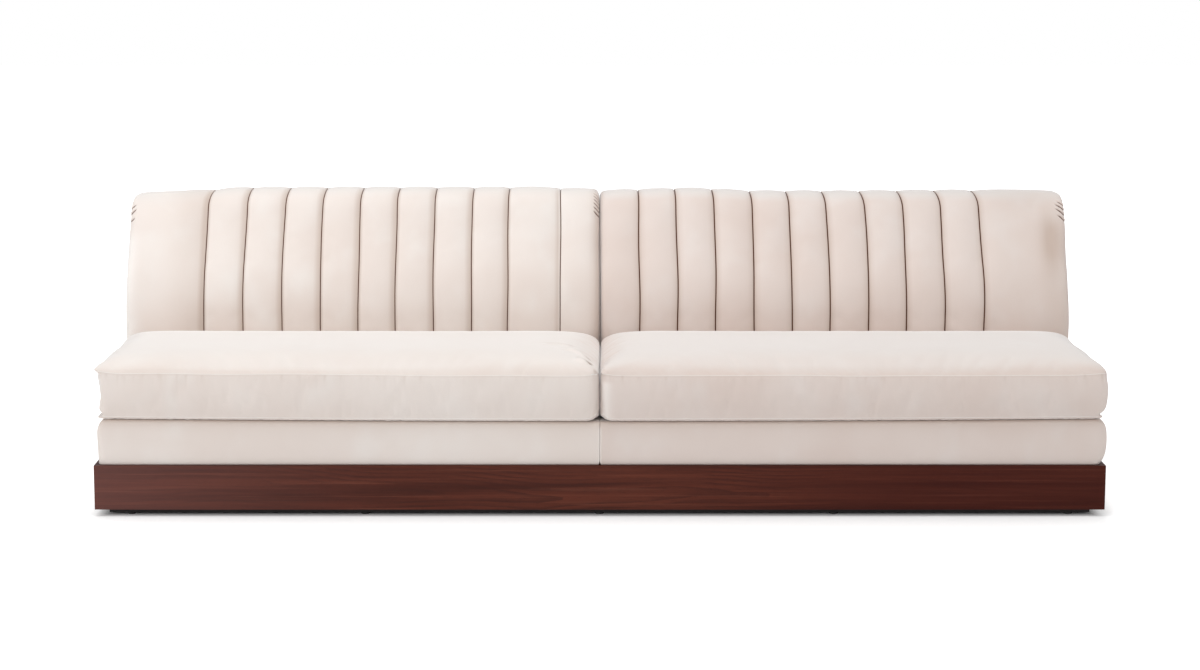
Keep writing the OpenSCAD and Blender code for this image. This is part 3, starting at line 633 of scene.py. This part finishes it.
def channelled_back(side, material):
    ends, xs = column_places(side)
    split = PATH_LENGTH[np.searchsorted(PATH[:, 2], math.radians(60), side="left")]
    front, over = graded(0, split, *FACE_CELLS), graded(split, PATH_END, *OVER_CELLS)
    piece, at, cells = new_block(SIDE_NAME[side] + "_back_channels", xs, over, front)
    i, j, k = at.T
    x = xs[i]
    is_front, is_top, is_rear, is_foot = j == 0, k == cells[2], j == cells[1], k == 0
    edge = is_front | is_top | is_rear | is_foot
    on_rear, on_foot = is_rear & ~is_top, is_foot & ~is_front & ~is_rear
    visible = (is_front | is_top) & ~on_rear

    # The front and the top follow the profile; the rear and the foot are flat
    length = np.where(is_front, front[k], np.where(is_top, over[j], PATH_END))
    d, z, angle = (np.interp(length, PATH_LENGTH, column) for column in PATH.T)
    foot_z, rear_top_z = PATH[0][1], PATH[-1][1]
    d = np.where(on_rear, REAR_D, d)
    z = np.where(on_rear, rear_top_z + (foot_z - rear_top_z) * (1 - k / cells[2]), z)
    angle = np.where(on_rear, math.pi, angle)
    d = np.where(on_foot, FACE_D + (REAR_D - FACE_D) * j / cells[1], d)
    z = np.where(on_foot, foot_z, z)

    # Swell of the channels and the set-back of the rounded ends, along the normal
    top_share = 1 - 0.62 * ease(angle, math.radians(50), math.radians(88))
    fade = 1 - ease(length, PATH_END - 0.060, PATH_END - 0.004)
    swell = channel_swell(x, ends, side) * CHANNEL_CROWN * top_share * fade * visible
    from_end, from_joint = np.abs(x - side * OUTER_X), np.abs(x - joint_plane(side))
    end_r = END_R + (TOP_CORNER_R[side] - END_R) * ease(length, 0.46, 0.61)
    curve = np.clip(1 - from_end / end_r, 0, 1)
    back_off = end_r * (1 - np.sqrt(1 - curve ** 2)) * np.where(visible, 1, 0.35)
    curve = np.clip(1 - from_joint / INNER_R, 0, 1)
    back_off += INNER_R * (1 - np.sqrt(1 - curve ** 2)) * visible
    out = (swell - back_off) * ~on_foot
    d = np.where(edge, d - out * np.cos(angle), d)
    z = np.where(edge, z + out * np.sin(angle), z)
    d = np.minimum(d, REAR_D - 0.0003)
    fill_ends(at, cells, edge, d)
    fill_ends(at, cells, edge, z)
    z = z + ease(z, 0.70, BACK_TOP) * top_rise(side, x, from_end, from_joint)
    shade = painted_back_shade(x, ends, side, from_end, from_joint, length) * visible
    x = swayed(side, x, z, length, from_end, from_joint)
    move_points(piece, np.stack([x, FRONT_Y + d, z], axis=1))
    store(piece, "from_end", from_end)
    store(piece, "from_joint", from_joint)
    store(piece, "run", np.where(visible, length, 9.0))
    store(piece, "seam_shade", shade)

    # Channel seams, and the seam round each end where the side panel is sewn in
    on_end = (i == 0) | (i == cells[0])
    seam_number = np.zeros(len(x), int)
    for number, place in enumerate(ends[1:-1], 1):
        seam_number[(np.abs(xs[i] - place) < 1e-6) & visible] = number
    seam_number[on_end & visible] = 100 + i[on_end & visible]
    mark_seam_edges(piece, seam_number)
    inflate(piece, held=(seam_number > 0) | ~visible | on_end, pressure=3.0, stretch=0.004, cap=0.008)
    subdivide_smooth(piece)
    inside = np.minimum(stored(piece, "from_end"), stored(piece, "from_joint")) > 0.004
    # The sunk seams carry painted shade
    sew_seams(piece, inside, width=0.0036 if side == LEFT else 0.0048, depth=0.006, tone=1.0)
    at_end = np.minimum(stored(piece, "from_end"), stored(piece, "from_joint")) < 0.0005
    sew_seams(piece, at_end, width=0.0016, depth=0.0012, tone=0.3)
    gather_corners(piece, side)
    finish_piece(piece, material, "sofa_frame", "velvet", SIDE_NAME[side] + "_back_cover")


def gather_corners(piece, side):
    """Pleats that take up the cloth round the top corners: slanted slits beside the end seams."""
    near, run = stored(piece, "from_end"), stored(piece, "run")
    if side == LEFT:
        near = np.minimum(near, stored(piece, "from_joint"))
    refine(piece, (near < 0.040) & (run > 0.46) & (run < 0.63), 3)
    points, normals, run = points_of(piece), normals_of(piece), stored(piece, "run")
    from_end, from_joint = stored(piece, "from_end"), stored(piece, "from_joint")
    corners = [(from_end, OUTER_PLEATS[side], 0.85, 0.0025)]
    if side == LEFT:
        corners.append((from_joint, INNER_PLEATS, 0.8, 0.0023))
    slit, puff = np.zeros(len(points)), np.zeros(len(points))
    for inward, pleats, slope, width in corners:
        for start, reach in pleats:
            line = run - start - slope * inward
            held = 1 - ease(inward, reach * 0.55, reach * 1.15)
            slit += bump(line, 0, width) * held
            puff += bump(line, 0.45 * PLEAT_PITCH, 0.005) * held
    slit, puff = np.clip(slit, 0, 1), np.clip(puff, 0, 1)
    move_points(piece, points + normals * (0.0016 * puff - 0.0036 * slit)[:, None])

    # Painted shade in the slits and on the faces in the joint; a painted highlight on the left back's outer
    # edge
    inner_face = ease(np.abs(normals[:, 0]), 0.86, 0.99) * (from_joint < 0.012)
    deepen(piece, "crease", np.maximum(0.45 * slit, 0.22 * inner_face))
    if side == LEFT:
        crease = stored(piece, "crease")
        light = bump(from_end, 0, 0.035) * (1 - ease(run, 0.42, 0.50))
        store(piece, "crease", np.where(crease < 0.02, -0.16 * light, crease))


def rear_panel(side, material):
    """Upholstered board that closes the rear, softly padded and pulled tight at its edges."""
    x0, x1 = sorted((joint_plane(side) + side * REAR_IN, side * (HALF_W - REAR_OUT)))
    low, high = REAR_FOOT_Z, BACK_TOP - REAR_R
    y0, y1 = FRONT_Y + REAR_D + 0.0002, FRONT_Y + REAR_D + REAR_THICK
    xs, ys, zs = graded(x0, x1, *REAR_CELLS), np.linspace(y0, y1, 4), graded(low, high, *REAR_CELLS)
    piece, at, cells = new_block(SIDE_NAME[side] + "_rear_cover", xs, ys, zs)
    x, y, z = xs[at[:, 0]], ys[at[:, 1]], zs[at[:, 2]]
    near = np.minimum(np.minimum(x - x0, x1 - x), np.minimum(z - low, high - z))
    deep = at[:, 1] == cells[1]
    y = np.where(deep, y1 - 0.005 * (1 - np.sqrt(1 - (1 - np.clip(near / 0.006, 0, 1)) ** 2)), y)
    y = np.where(deep, y + 0.004 * ease(near, 0.006, 0.10), y)
    move_points(piece, np.stack([x, y, z], axis=1))
    subdivide_smooth(piece)
    finish_piece(piece, material, "sofa_frame", "velvet", SIDE_NAME[side] + "_rear_panel")


# Decks

def roll_back(z, roll):
    """How far the deck's rolled top edge lies back at a height."""
    up = np.clip((z - (DECK_TOP - roll)) / roll, 0, 1)
    return roll * (1 - np.sqrt(np.clip(1 - up ** 2, 0, 1))) * 0.8


def seat_deck(side, material):
    inner, outer = side * DECK_INNER_X, side * (HALF_W - DECK_SET_IN[side])
    x0, x1 = sorted((inner, outer))
    y0, y1 = FRONT_Y + 0.006, FRONT_Y + REAR_D - 0.0006
    xs, ys = graded(x0, x1, *DECK_CELLS), graded(y0, y1, *DECK_CELLS)
    zs = graded(PLINTH_TOP + 0.0004, DECK_TOP - 0.0004, *DECK_HIGH_CELLS)
    piece, at, _ = new_block(SIDE_NAME[side] + "_seat_deck", xs, ys, zs)
    x, y, z = xs[at[:, 0]], ys[at[:, 1]], zs[at[:, 2]]
    w_out = np.clip(1 - np.abs(x - outer) / 0.10, 0, 1) ** 3
    w_front = np.clip(1 - (y - y0) / 0.10, 0, 1) ** 3
    w_in = np.clip(1 - np.abs(x - inner) / 0.05, 0, 1) ** 3
    low = 1 - (z - PLINTH_TOP) / (DECK_TOP - PLINTH_TOP)
    tuck = 0.004 * low ** 2.4 if side == LEFT else 0.014 * low ** 8 - 0.006 * np.sin(math.pi * low)
    x, y = round_plan(x, y, x0, x1, y0, y1, DECK_CORNERS[side])

    # The top edge rolls over; the foot is drawn in and the seam corner opens at the bottom
    x -= side * (tuck + roll_back(z, DECK_END_ROLL[side])) * w_out
    y += (0.004 * low ** 6 + roll_back(z, DECK_FRONT_ROLL)) * w_front
    notch = np.clip(low * 12 - 11, 0, 1) ** 1.5
    x += side * 0.003 * notch * w_in * w_front
    z += front_sag(x, y) * (1 - low)
    move_points(piece, np.stack([x, y, z], axis=1))
    subdivide_smooth(piece)

    # Painted shadow under the cushion's edge with a painted dark line of contact, and a painted highlight
    # down the seam in the middle
    x, y, z = points_of(piece).T
    below = np.clip(DECK_TOP + front_sag(x, y) - z, 0, 1)
    forward = 1 - 0.5 * ease(y, FRONT_Y + 0.02, FRONT_Y + 0.06)
    store(piece, "seam_shade", 0.95 * np.exp(-below / 0.014) * forward)
    contact = 0.20 * np.exp(-below / 0.003) * (1 - ease(y, FRONT_Y + 0.012, FRONT_Y + 0.030))
    joint = 0.13 * (np.abs(x) < 0.0032) * ease(z, DECK_TOP - 0.010, DECK_TOP - 0.030)
    store(piece, "crease", contact - joint)
    finish_piece(piece, material, "sofa_frame", "velvet", SIDE_NAME[side] + "_deck_cover")


# Materials

# Velvet on each side: its standing pile, brushed patches, pile that lies away, and a painted highlight for
# faces that point up.
# The left side's colours are lighter and the right side's pinker and darker: painted light, falling more on
# the left half.
VELVET_COLOURS = {
    LEFT: ((0.81, 0.740, 0.695), (0.86, 0.84, 0.81), (0.77, 0.685, 0.635), (0.80, 0.75, 0.71)),
    RIGHT: ((0.755, 0.662, 0.615), (0.80, 0.76, 0.735), (0.72, 0.612, 0.56), (0.78, 0.745, 0.715)),
}

# Velvet's other tones: between the tips of the pile, painted shade beside the seams, under the cushions and
# in hollows, painted deep shade down in the seams and gaps, and a painted highlight
PILE_GAPS = (0.52, 0.45, 0.40)
PAINTED_SHADE_TONE = (0.47, 0.35, 0.28)
PAINTED_DEEP_SHADE = (0.125, 0.050, 0.028)
PAINTED_HIGHLIGHT = (0.95, 0.93, 0.90)

# Walnut: height of the boards' heart line, growth rings per metre, the wood's tones, and a painted reflection
# and painted shade toward its ends
HEART_Z = 0.080
RINGS = 95.0
DARK_WOOD, LIGHT_WOOD = (0.052, 0.015, 0.010), (0.115, 0.036, 0.022)
LATE_WOOD = (0.040, 0.015, 0.012)
DARK_STREAK, LIGHT_STREAK = (0.036, 0.014, 0.012), (0.20, 0.078, 0.050)
OPEN_PORE = (0.018, 0.008, 0.007)
PAINTED_LEFT_REFLECTION, PAINTED_RIGHT_SHADE = (0.226, 0.132, 0.126), (0.045, 0.004, 0.001)
FINISH_TINT = (1.06, 0.84, 0.78)

# Each rail's wood: whether its grain is turned, and where in the board it lies
RAIL_CUTS = {"front": (False, (0.25, 0, 0)), "rear": (False, (3.1, 0, 0.02)),
             "left": (True, (5.2, 0, 0.01)), "right": (True, (8.4, 0, -0.01))}

# Plywood's plies per metre and their glue line
PLIES = 480.0
GLUE_LINE = (0.40, 0.27, 0.16)


class Graph:
    """Small helper that adds and joins shader nodes of one tree."""

    def __init__(self, tree):
        self.tree = tree
        self.nodes = tree.nodes

    def add(self, kind, **inputs):
        node = self.nodes.new(kind)
        for name, value in inputs.items():
            self.feed(node, name, value)
        return node

    def feed(self, node, name, value):
        """Joins or sets an input, given by its name with underscores, or by its place as i0, i1 and so on."""
        by_place = name[0] == "i" and name[1:].isdigit()
        socket = node.inputs[int(name[1:]) if by_place else name.replace("_", " ")]
        if isinstance(value, bpy.types.NodeSocket):
            self.tree.links.new(value, socket)
        elif socket.type == "RGBA":
            socket.default_value = (*value, 1)
        else:
            socket.default_value = value

    def math(self, operation, a, b=0.0):
        node = self.add("ShaderNodeMath", i0=a, i1=b)
        node.operation = operation
        return node.outputs[0]

    def times(self, a, b):
        return self.math("MULTIPLY", a, b)

    def remap(self, value, low, high, to_low=0.0, to_high=1.0):
        limits = {"From_Min": low, "From_Max": high, "To_Min": to_low, "To_Max": to_high}
        node = self.add("ShaderNodeMapRange", Value=value, **limits)
        node.interpolation_type = "SMOOTHSTEP"
        return node.outputs["Result"]

    def noise(self, vector, scale, detail=2.0, roughness=0.5):
        node = self.add("ShaderNodeTexNoise", Vector=vector, Scale=scale, Detail=detail, Roughness=roughness)
        return node.outputs["Fac"]

    def stretch(self, vector, scale, location=(0, 0, 0), rotation=(0, 0, 0)):
        node = self.add("ShaderNodeMapping", Vector=vector, Location=location, Rotation=rotation, Scale=scale)
        return node.outputs["Vector"]

    def split(self, vector):
        return self.add("ShaderNodeSeparateXYZ", Vector=vector).outputs

    def mix(self, factor, a, b, blend="MIX"):
        node = self.nodes.new("ShaderNodeMix")
        node.data_type = "RGBA"
        node.blend_type = blend
        for name, value in (("i0", factor), ("i6", a), ("i7", b)):
            self.feed(node, name, value)
        return node.outputs[2]

    def effect(self, group, **inputs):
        """Places a node group and gives back its colour and relief."""
        node = self.nodes.new("ShaderNodeGroup")
        node.node_tree = group
        for name, value in inputs.items():
            self.feed(node, name, value)
        return node.outputs["Colour"], node.outputs["Relief"]

    def dress(self, shader, colour, height, strength, distance):
        """Joins a colour and a relief to a plain shader."""
        relief = self.add("ShaderNodeBump", Height=height, Strength=strength, Distance=distance)
        self.feed(shader, "Base_Color", colour)
        self.feed(shader, "Normal", relief.outputs["Normal"])


def empty_material(name):
    """A material without nodes, its graph, and its coordinates in metres."""
    material = bpy.data.materials.new(name)
    material.use_nodes = True
    graph = Graph(material.node_tree)
    graph.nodes.clear()
    return material, graph, graph.add("ShaderNodeTexCoord").outputs["Object"]


def new_material(name, roughness, **constants):
    """A material with a plain shader, its graph, the shader, and its coordinates in metres."""
    material, graph, place = empty_material(name)
    shader = graph.add("ShaderNodeBsdfPrincipled", Roughness=roughness, **constants)
    graph.add("ShaderNodeOutputMaterial", Surface=shader.outputs["BSDF"])
    return material, graph, shader, place


def new_group(name, **inputs):
    """A node group that makes a colour and a relief from a place and other inputs, its graph and inputs."""
    tree = bpy.data.node_groups.new(name, "ShaderNodeTree")
    for given, kind in {"Place": "Vector", **inputs}.items():
        tree.interface.new_socket(given.replace("_", " "), in_out="INPUT", socket_type="NodeSocket" + kind)
    for made, kind in (("Colour", "Color"), ("Relief", "Float")):
        tree.interface.new_socket(made, in_out="OUTPUT", socket_type="NodeSocket" + kind)
    graph = Graph(tree)
    return tree, graph, graph.nodes.new("NodeGroupInput").outputs


def velvet_group():
    """Short-pile velvet: brushed patches and a fine pile, with a painted highlight where it faces up, and
    painted shade.

    Its shading input is above zero where deep shade is painted, down in the seams and gaps, and below zero
    where a highlight is painted.
    """
    tree, graph, given = new_group(
        "velvet_pile", Upward="Float", Seam_Shade="Float", Crease="Float",
        Standing="Color", Brushed="Color", Shaded="Color", Lit="Color")
    place = given["Place"]
    patches = graph.noise(graph.stretch(place, (1, 1, 1.4)), 3.2, 2, 0.5)
    strokes = graph.noise(graph.stretch(place, (1.6, 1.6, 1.1), (3, 1, 0)), 6.0, 2, 0.5)
    tone = graph.mix(graph.remap(patches, 0.28, 0.72), given["Shaded"], given["Standing"])
    tone = graph.mix(graph.remap(strokes, 0.45, 0.85, 0, 0.35), tone, given["Brushed"])
    # Painted highlight on faces that point up
    tone = graph.mix(graph.remap(given["Upward"], 0.75, 0.99, 0, 0.6), tone, given["Lit"])
    pile = graph.noise(place, 1400, 2, 0.7)
    tone = graph.mix(graph.remap(pile, 0.3, 0.7, 0, 0.10), tone, PILE_GAPS)
    # Painted shade, as strong as the piece's stored shade
    tone = graph.mix(graph.times(given["Seam Shade"], 0.62), tone, PAINTED_SHADE_TONE)
    # Painted deep shade down in the seams, gaps, slits and fold valleys, and a dark line of contact on the
    # decks
    tone = graph.mix(graph.remap(given["Crease"], 0.02, 0.40), tone, PAINTED_DEEP_SHADE)
    # Painted highlight on the raised cushion seams, the right cushion's inner corner, the left back's outer
    # edge and the deck seam
    tone = graph.mix(graph.remap(given["Crease"], 0.0, -0.30, 0, 0.9), tone, PAINTED_HIGHLIGHT)
    relief = graph.math("ADD", graph.times(pile, 0.35), graph.noise(place, 160, 3, 0.6))
    graph.add("NodeGroupOutput", Colour=tone, Relief=relief)
    return tree


def velvet(group, name, standing, brushed, shaded, lit):
    """Velvet of one side: the pile in its own colours, with painted shade and painted highlights where the
    piece's attributes say.
    """
    material, graph, shader, place = new_material(
        name, 0.9, Sheen_Weight=0.9, Sheen_Roughness=0.38, Specular_IOR_Level=0.2)
    upward = graph.split(graph.nodes.new("ShaderNodeNewGeometry").outputs["Normal"])["Z"]
    beside, crease = graph.add("ShaderNodeAttribute"), graph.add("ShaderNodeAttribute")
    beside.attribute_name, crease.attribute_name = "seam_shade", "crease"
    pile = graph.effect(
        group, Place=place, Upward=upward, Seam_Shade=beside.outputs["Fac"], Crease=crease.outputs["Fac"],
        Standing=standing, Brushed=brushed, Shaded=shaded, Lit=lit)
    graph.dress(shader, *pile, 0.35, 0.0004)
    return material


def walnut_group():
    """Colour and relief of flat-sawn walnut whose length runs along X of its coordinates."""
    tree, graph, given = new_group("walnut_grain")
    place = given["Place"]
    split = graph.split(place)
    along, across = split["X"], split["Z"]

    # Growth rings round a heart line that drifts, cut at a small angle
    drift = graph.noise(graph.stretch(place, (0.9, 0.9, 0.9)), 1.0, 2)
    ripple = graph.noise(graph.stretch(place, (2.5, 8, 14)), 1.0, 3, 0.6)
    lifted = graph.math("SUBTRACT", across, HEART_Z)
    lifted = graph.math("ADD", lifted, graph.times(graph.math("SUBTRACT", drift, 0.5), 0.16))
    radius = graph.math("SQRT", graph.math("ADD", graph.times(lifted, lifted), 0.0006))
    radius = graph.math("ADD", radius, graph.times(along, 0.022))
    radius = graph.math("ADD", radius, graph.times(ripple, 0.022))
    ring = graph.math("FRACT", graph.times(radius, RINGS))
    late = graph.times(graph.remap(ring, 0.35, 0.98), graph.remap(ripple, 0.38, 0.6, 0.12, 0.55))

    # Streaks, wider bands and open pores, all drawn out along the board
    streak = graph.noise(graph.stretch(place, (1.3, 30, 95)), 1.0, 4, 0.65)
    band = graph.noise(graph.stretch(place, (0.7, 6, 20), (5, 0, 2)), 1.0, 3, 0.55)
    pores = graph.noise(graph.stretch(place, (42, 500, 1500)), 1.0, 2, 0.6)
    colour = graph.mix(graph.remap(band, 0.35, 0.68), DARK_WOOD, LIGHT_WOOD)
    colour = graph.mix(late, colour, LATE_WOOD)
    colour = graph.mix(graph.remap(streak, 0.50, 0.72, 0, 0.55), colour, DARK_STREAK)
    colour = graph.mix(graph.remap(streak, 0.46, 0.30, 0, 0.40), colour, LIGHT_STREAK)
    colour = graph.mix(graph.remap(pores, 0.60, 0.72, 0, 0.55), colour, OPEN_PORE)
    # Painted reflection, lighter and greyer toward the left end, and painted shade toward the right end
    colour = graph.mix(graph.remap(along, -0.2, -1.5, 0, 0.42), colour, PAINTED_LEFT_REFLECTION)
    colour = graph.mix(graph.remap(along, 0.1, 1.3, 0, 0.55), colour, PAINTED_RIGHT_SHADE)
    colour = graph.mix(1.0, colour, FINISH_TINT, "MULTIPLY")
    relief = graph.math("SUBTRACT", graph.times(streak, 0.3), graph.remap(pores, 0.58, 0.72))
    graph.add("NodeGroupOutput", Colour=colour, Relief=relief)
    return tree


def walnut(group, name, turned, offset):
    """Walnut of one rail: the grain runs along it and comes from its own place in the board."""
    material, graph, shader, place = new_material(name, 0.42, Specular_IOR_Level=0.13)
    turn = (0, 0, math.radians(90)) if turned else (0, 0, 0)
    grain = graph.effect(group, Place=graph.stretch(place, (1, 1, 1), offset, turn))
    graph.dress(shader, *grain, 0.25, 0.0003)
    return material


def plywood():
    """Birch plywood: calm face grain, and plies that show on the cut edges."""
    material, graph, shader, place = new_material("plywood_birch", 0.6)
    face = graph.noise(graph.stretch(place, (3, 40, 40)), 1.0, 4, 0.6)
    colour = graph.mix(graph.remap(face, 0.3, 0.7), (0.62, 0.45, 0.27), (0.74, 0.58, 0.38))
    plies = graph.math("FRACT", graph.times(graph.split(place)["X"], PLIES))
    colour = graph.mix(graph.remap(plies, 0.45, 0.55, 0, 0.12), colour, GLUE_LINE)
    graph.dress(shader, colour, face, 0.3, 0.0004)
    return material


def mottle_group():
    """Mottling between a dark and a light colour, with relief from the same noise."""
    tree, graph, given = new_group("mottle", Dark="Color", Light="Color", Scale="Float")
    grain = graph.noise(given["Place"], given["Scale"], 4, 0.6)
    colour = graph.mix(graph.remap(grain, 0.3, 0.7), given["Dark"], given["Light"])
    graph.add("NodeGroupOutput", Colour=colour, Relief=grain)
    return tree


def weave_group():
    """A plain weave of threads that cross at the pitch, a little worn."""
    tree, graph, given = new_group("plain_weave", Dark="Color", Light="Color", Pitch="Float")
    split, turns = graph.split(given["Place"]), graph.math("DIVIDE", 2 * math.pi, given["Pitch"])
    waves = [graph.math("SINE", graph.times(split[axis], turns)) for axis in "XYZ"]
    threads = graph.times(graph.math("ADD", waves[0], waves[2]), graph.math("ADD", waves[1], 1.3))
    wear = graph.noise(given["Place"], 60, 3)
    colour = graph.mix(graph.remap(threads, -1.5, 1.5), given["Dark"], given["Light"])
    colour = graph.mix(graph.remap(wear, 0.4, 0.7, 0, 0.3), colour, given["Dark"])
    graph.add("NodeGroupOutput", Colour=colour, Relief=threads)
    return tree


def speckled(group, name, dark, light, scale, roughness, strength, distance, **constants):
    material, graph, shader, place = new_material(name, roughness, **constants)
    mottle = graph.effect(group, Place=place, Dark=dark, Light=light, Scale=scale)
    graph.dress(shader, *mottle, strength, distance)
    return material


def woven(group, name, dark, light, pitch, roughness):
    material, graph, shader, place = new_material(name, roughness)
    weave = graph.effect(group, Place=place, Dark=dark, Light=light, Pitch=pitch)
    graph.dress(shader, *weave, 0.5, 0.0005)
    return material


def dress_frame():
    """Gives every CAD node that stays in view a procedural material for its slot."""
    grain, mottle, weave = walnut_group(), mottle_group(), weave_group()
    rails = {f"plinth_{name}_rail": walnut(grain, "walnut_" + name, *cut) for name, cut in RAIL_CUTS.items()}
    by_slot = {
        "plywood": plywood(),
        "black_board": speckled(
            mottle, "black_painted_board", (0.010, 0.009, 0.009), (0.022, 0.020, 0.019),
            180, 0.55, 0.2, 0.0003),
        "glide_nylon": speckled(
            mottle, "glide_nylon_black", (0.02, 0.02, 0.02), (0.04, 0.04, 0.04), 300, 0.45, 0.15, 0.0002),
        "bolt_steel": speckled(
            mottle, "zinc_steel", (0.45, 0.45, 0.44), (0.62, 0.62, 0.60),
            220, 0.35, 0.15, 0.0001, Metallic=1.0),
        "webbing": woven(weave, "elastic_webbing", (0.16, 0.10, 0.06), (0.42, 0.31, 0.20), 0.003, 0.85),
        "foam": speckled(
            mottle, "open_cell_foam", (0.70, 0.64, 0.42), (0.86, 0.80, 0.58), 700, 0.95, 0.7, 0.0006),
        "dust_cloth": woven(
            weave, "dust_cloth_black", (0.010, 0.010, 0.011), (0.035, 0.035, 0.036), 0.0016, 0.95),
    }
    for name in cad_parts:
        for holder in bpy.data.objects[name].material_slots:
            slot = holder.material.name.split(".")[0]
            if name in rails:
                holder.material = rails[name]
            elif slot in by_slot:
                holder.material = by_slot[slot]


# Camera, light and floor

# Camera found from the photograph's perspective: it looks square at the front, and its frame is shifted
CAMERA_PLACE = (-0.103, -7.795, 1.691)
CAMERA_TILT = math.radians(90 - 9.15)
LENS_MM, SENSOR_MM = 81.18, 36
FRAME_SHIFT = 0.0312

# Area lights: place, aim, size and power
LIGHTS = {
    "overhead": ((-0.6, -0.5, 4.2), (0, 0, 0.4), (5.0, 2.4), 96),
    "key": ((-2.2, -5.4, 2.4), (0, 0, 0.4), (2.4, 2.4), 60),
    "left_strip": ((-3.2, -1.0, 1.3), (-0.6, 0.3, 0.6), (0.8, 1.8), 12),
    "right_strip": ((3.2, -1.0, 1.3), (0.6, 0.3, 0.6), (0.8, 1.8), 9),
}

# Strength of the studio's all-round light, and the floor's own grey
WORLD_LIGHT = 0.5
FLOOR_GREY = 0.86


def place_camera():
    data = bpy.data.cameras.new("view")
    camera = bpy.data.objects.new("view", data)
    bpy.context.scene.collection.objects.link(camera)
    data.lens = LENS_MM
    data.sensor_width = SENSOR_MM
    camera.location = CAMERA_PLACE
    data.shift_x = FRAME_SHIFT
    camera.rotation_euler = (CAMERA_TILT, 0, 0)
    data.clip_end = 100
    bpy.context.scene.camera = camera


def light_scene():
    for name, (location, target, size, power) in LIGHTS.items():
        data = bpy.data.lights.new(name, "AREA")
        data.shape = "RECTANGLE"
        data.size, data.size_y = size
        data.energy = power
        light = bpy.data.objects.new(name, data)
        light.location = location
        x, y, z = np.subtract(location, target)
        light.rotation_euler = (math.atan2(math.hypot(x, y), z), 0, math.atan2(x, -y))
        bpy.context.scene.collection.objects.link(light)
    world = bpy.data.worlds.new("studio")
    bpy.context.scene.world = world
    world.use_nodes = True
    graph = Graph(world.node_tree)
    back = graph.nodes["Background"]
    back.inputs["Color"].default_value = (1, 1, 1, 1)
    seen = graph.add("ShaderNodeLightPath").outputs["Is Camera Ray"]
    graph.feed(back, "Strength", graph.remap(seen, 0, 1, WORLD_LIGHT, 1.0))


def lay_floor():
    """A white floor that keeps the sofa's shadow and brightens to plain white away from it."""
    bpy.ops.mesh.primitive_plane_add(size=40, location=(0, 0, 0))
    floor = bpy.context.object
    floor.name = "floor"
    material, graph, place = empty_material("studio_floor")
    matt = graph.add("ShaderNodeBsdfDiffuse", Color=(FLOOR_GREY, FLOOR_GREY, FLOOR_GREY)).outputs["BSDF"]

    # Glow that only the camera sees: none below the sofa, stronger past its ends, growing away from it
    reach = graph.add("ShaderNodeVectorMath", i0=graph.stretch(place, (0.55, 1, 1)))
    reach.operation = "LENGTH"
    glow = graph.remap(reach.outputs["Value"], 0.7, 2.6, 0.24, 0.9)
    split = graph.split(place)
    sideways, deep = graph.math("ABSOLUTE", split["X"]), graph.math("ABSOLUTE", split["Y"])
    beside = graph.math("MAXIMUM", graph.math("SUBTRACT", sideways, HALF_W - 0.04),
                        graph.math("SUBTRACT", deep, -FRONT_Y - 0.04))
    glow = graph.times(glow, graph.remap(beside, -0.01, 0.04))
    glow = graph.math("ADD", glow, graph.remap(sideways, HALF_W - 0.02, HALF_W + 0.06, 0, 0.36))
    glow = graph.add("ShaderNodeEmission", Strength=glow).outputs["Emission"]
    both = graph.add("ShaderNodeAddShader", i0=matt, i1=glow).outputs["Shader"]
    seen = graph.add("ShaderNodeLightPath").outputs["Is Camera Ray"]
    shown = graph.add("ShaderNodeMixShader", Fac=seen, i1=matt, i2=both)
    graph.add("ShaderNodeOutputMaterial", Surface=shown.outputs["Shader"])
    floor.data.materials.append(material)


def main():
    place_camera()
    light_scene()
    lay_floor()
    dress_frame()
    pile = velvet_group()
    for side in (LEFT, RIGHT):
        material = velvet(pile, "velvet_" + SIDE_NAME[side], *VELVET_COLOURS[side])
        seat_cushion(side, material)
        channelled_back(side, material)
        seat_deck(side, material)
        rear_panel(side, material)
    bpy.context.scene.view_settings.view_transform = "Standard"


main()
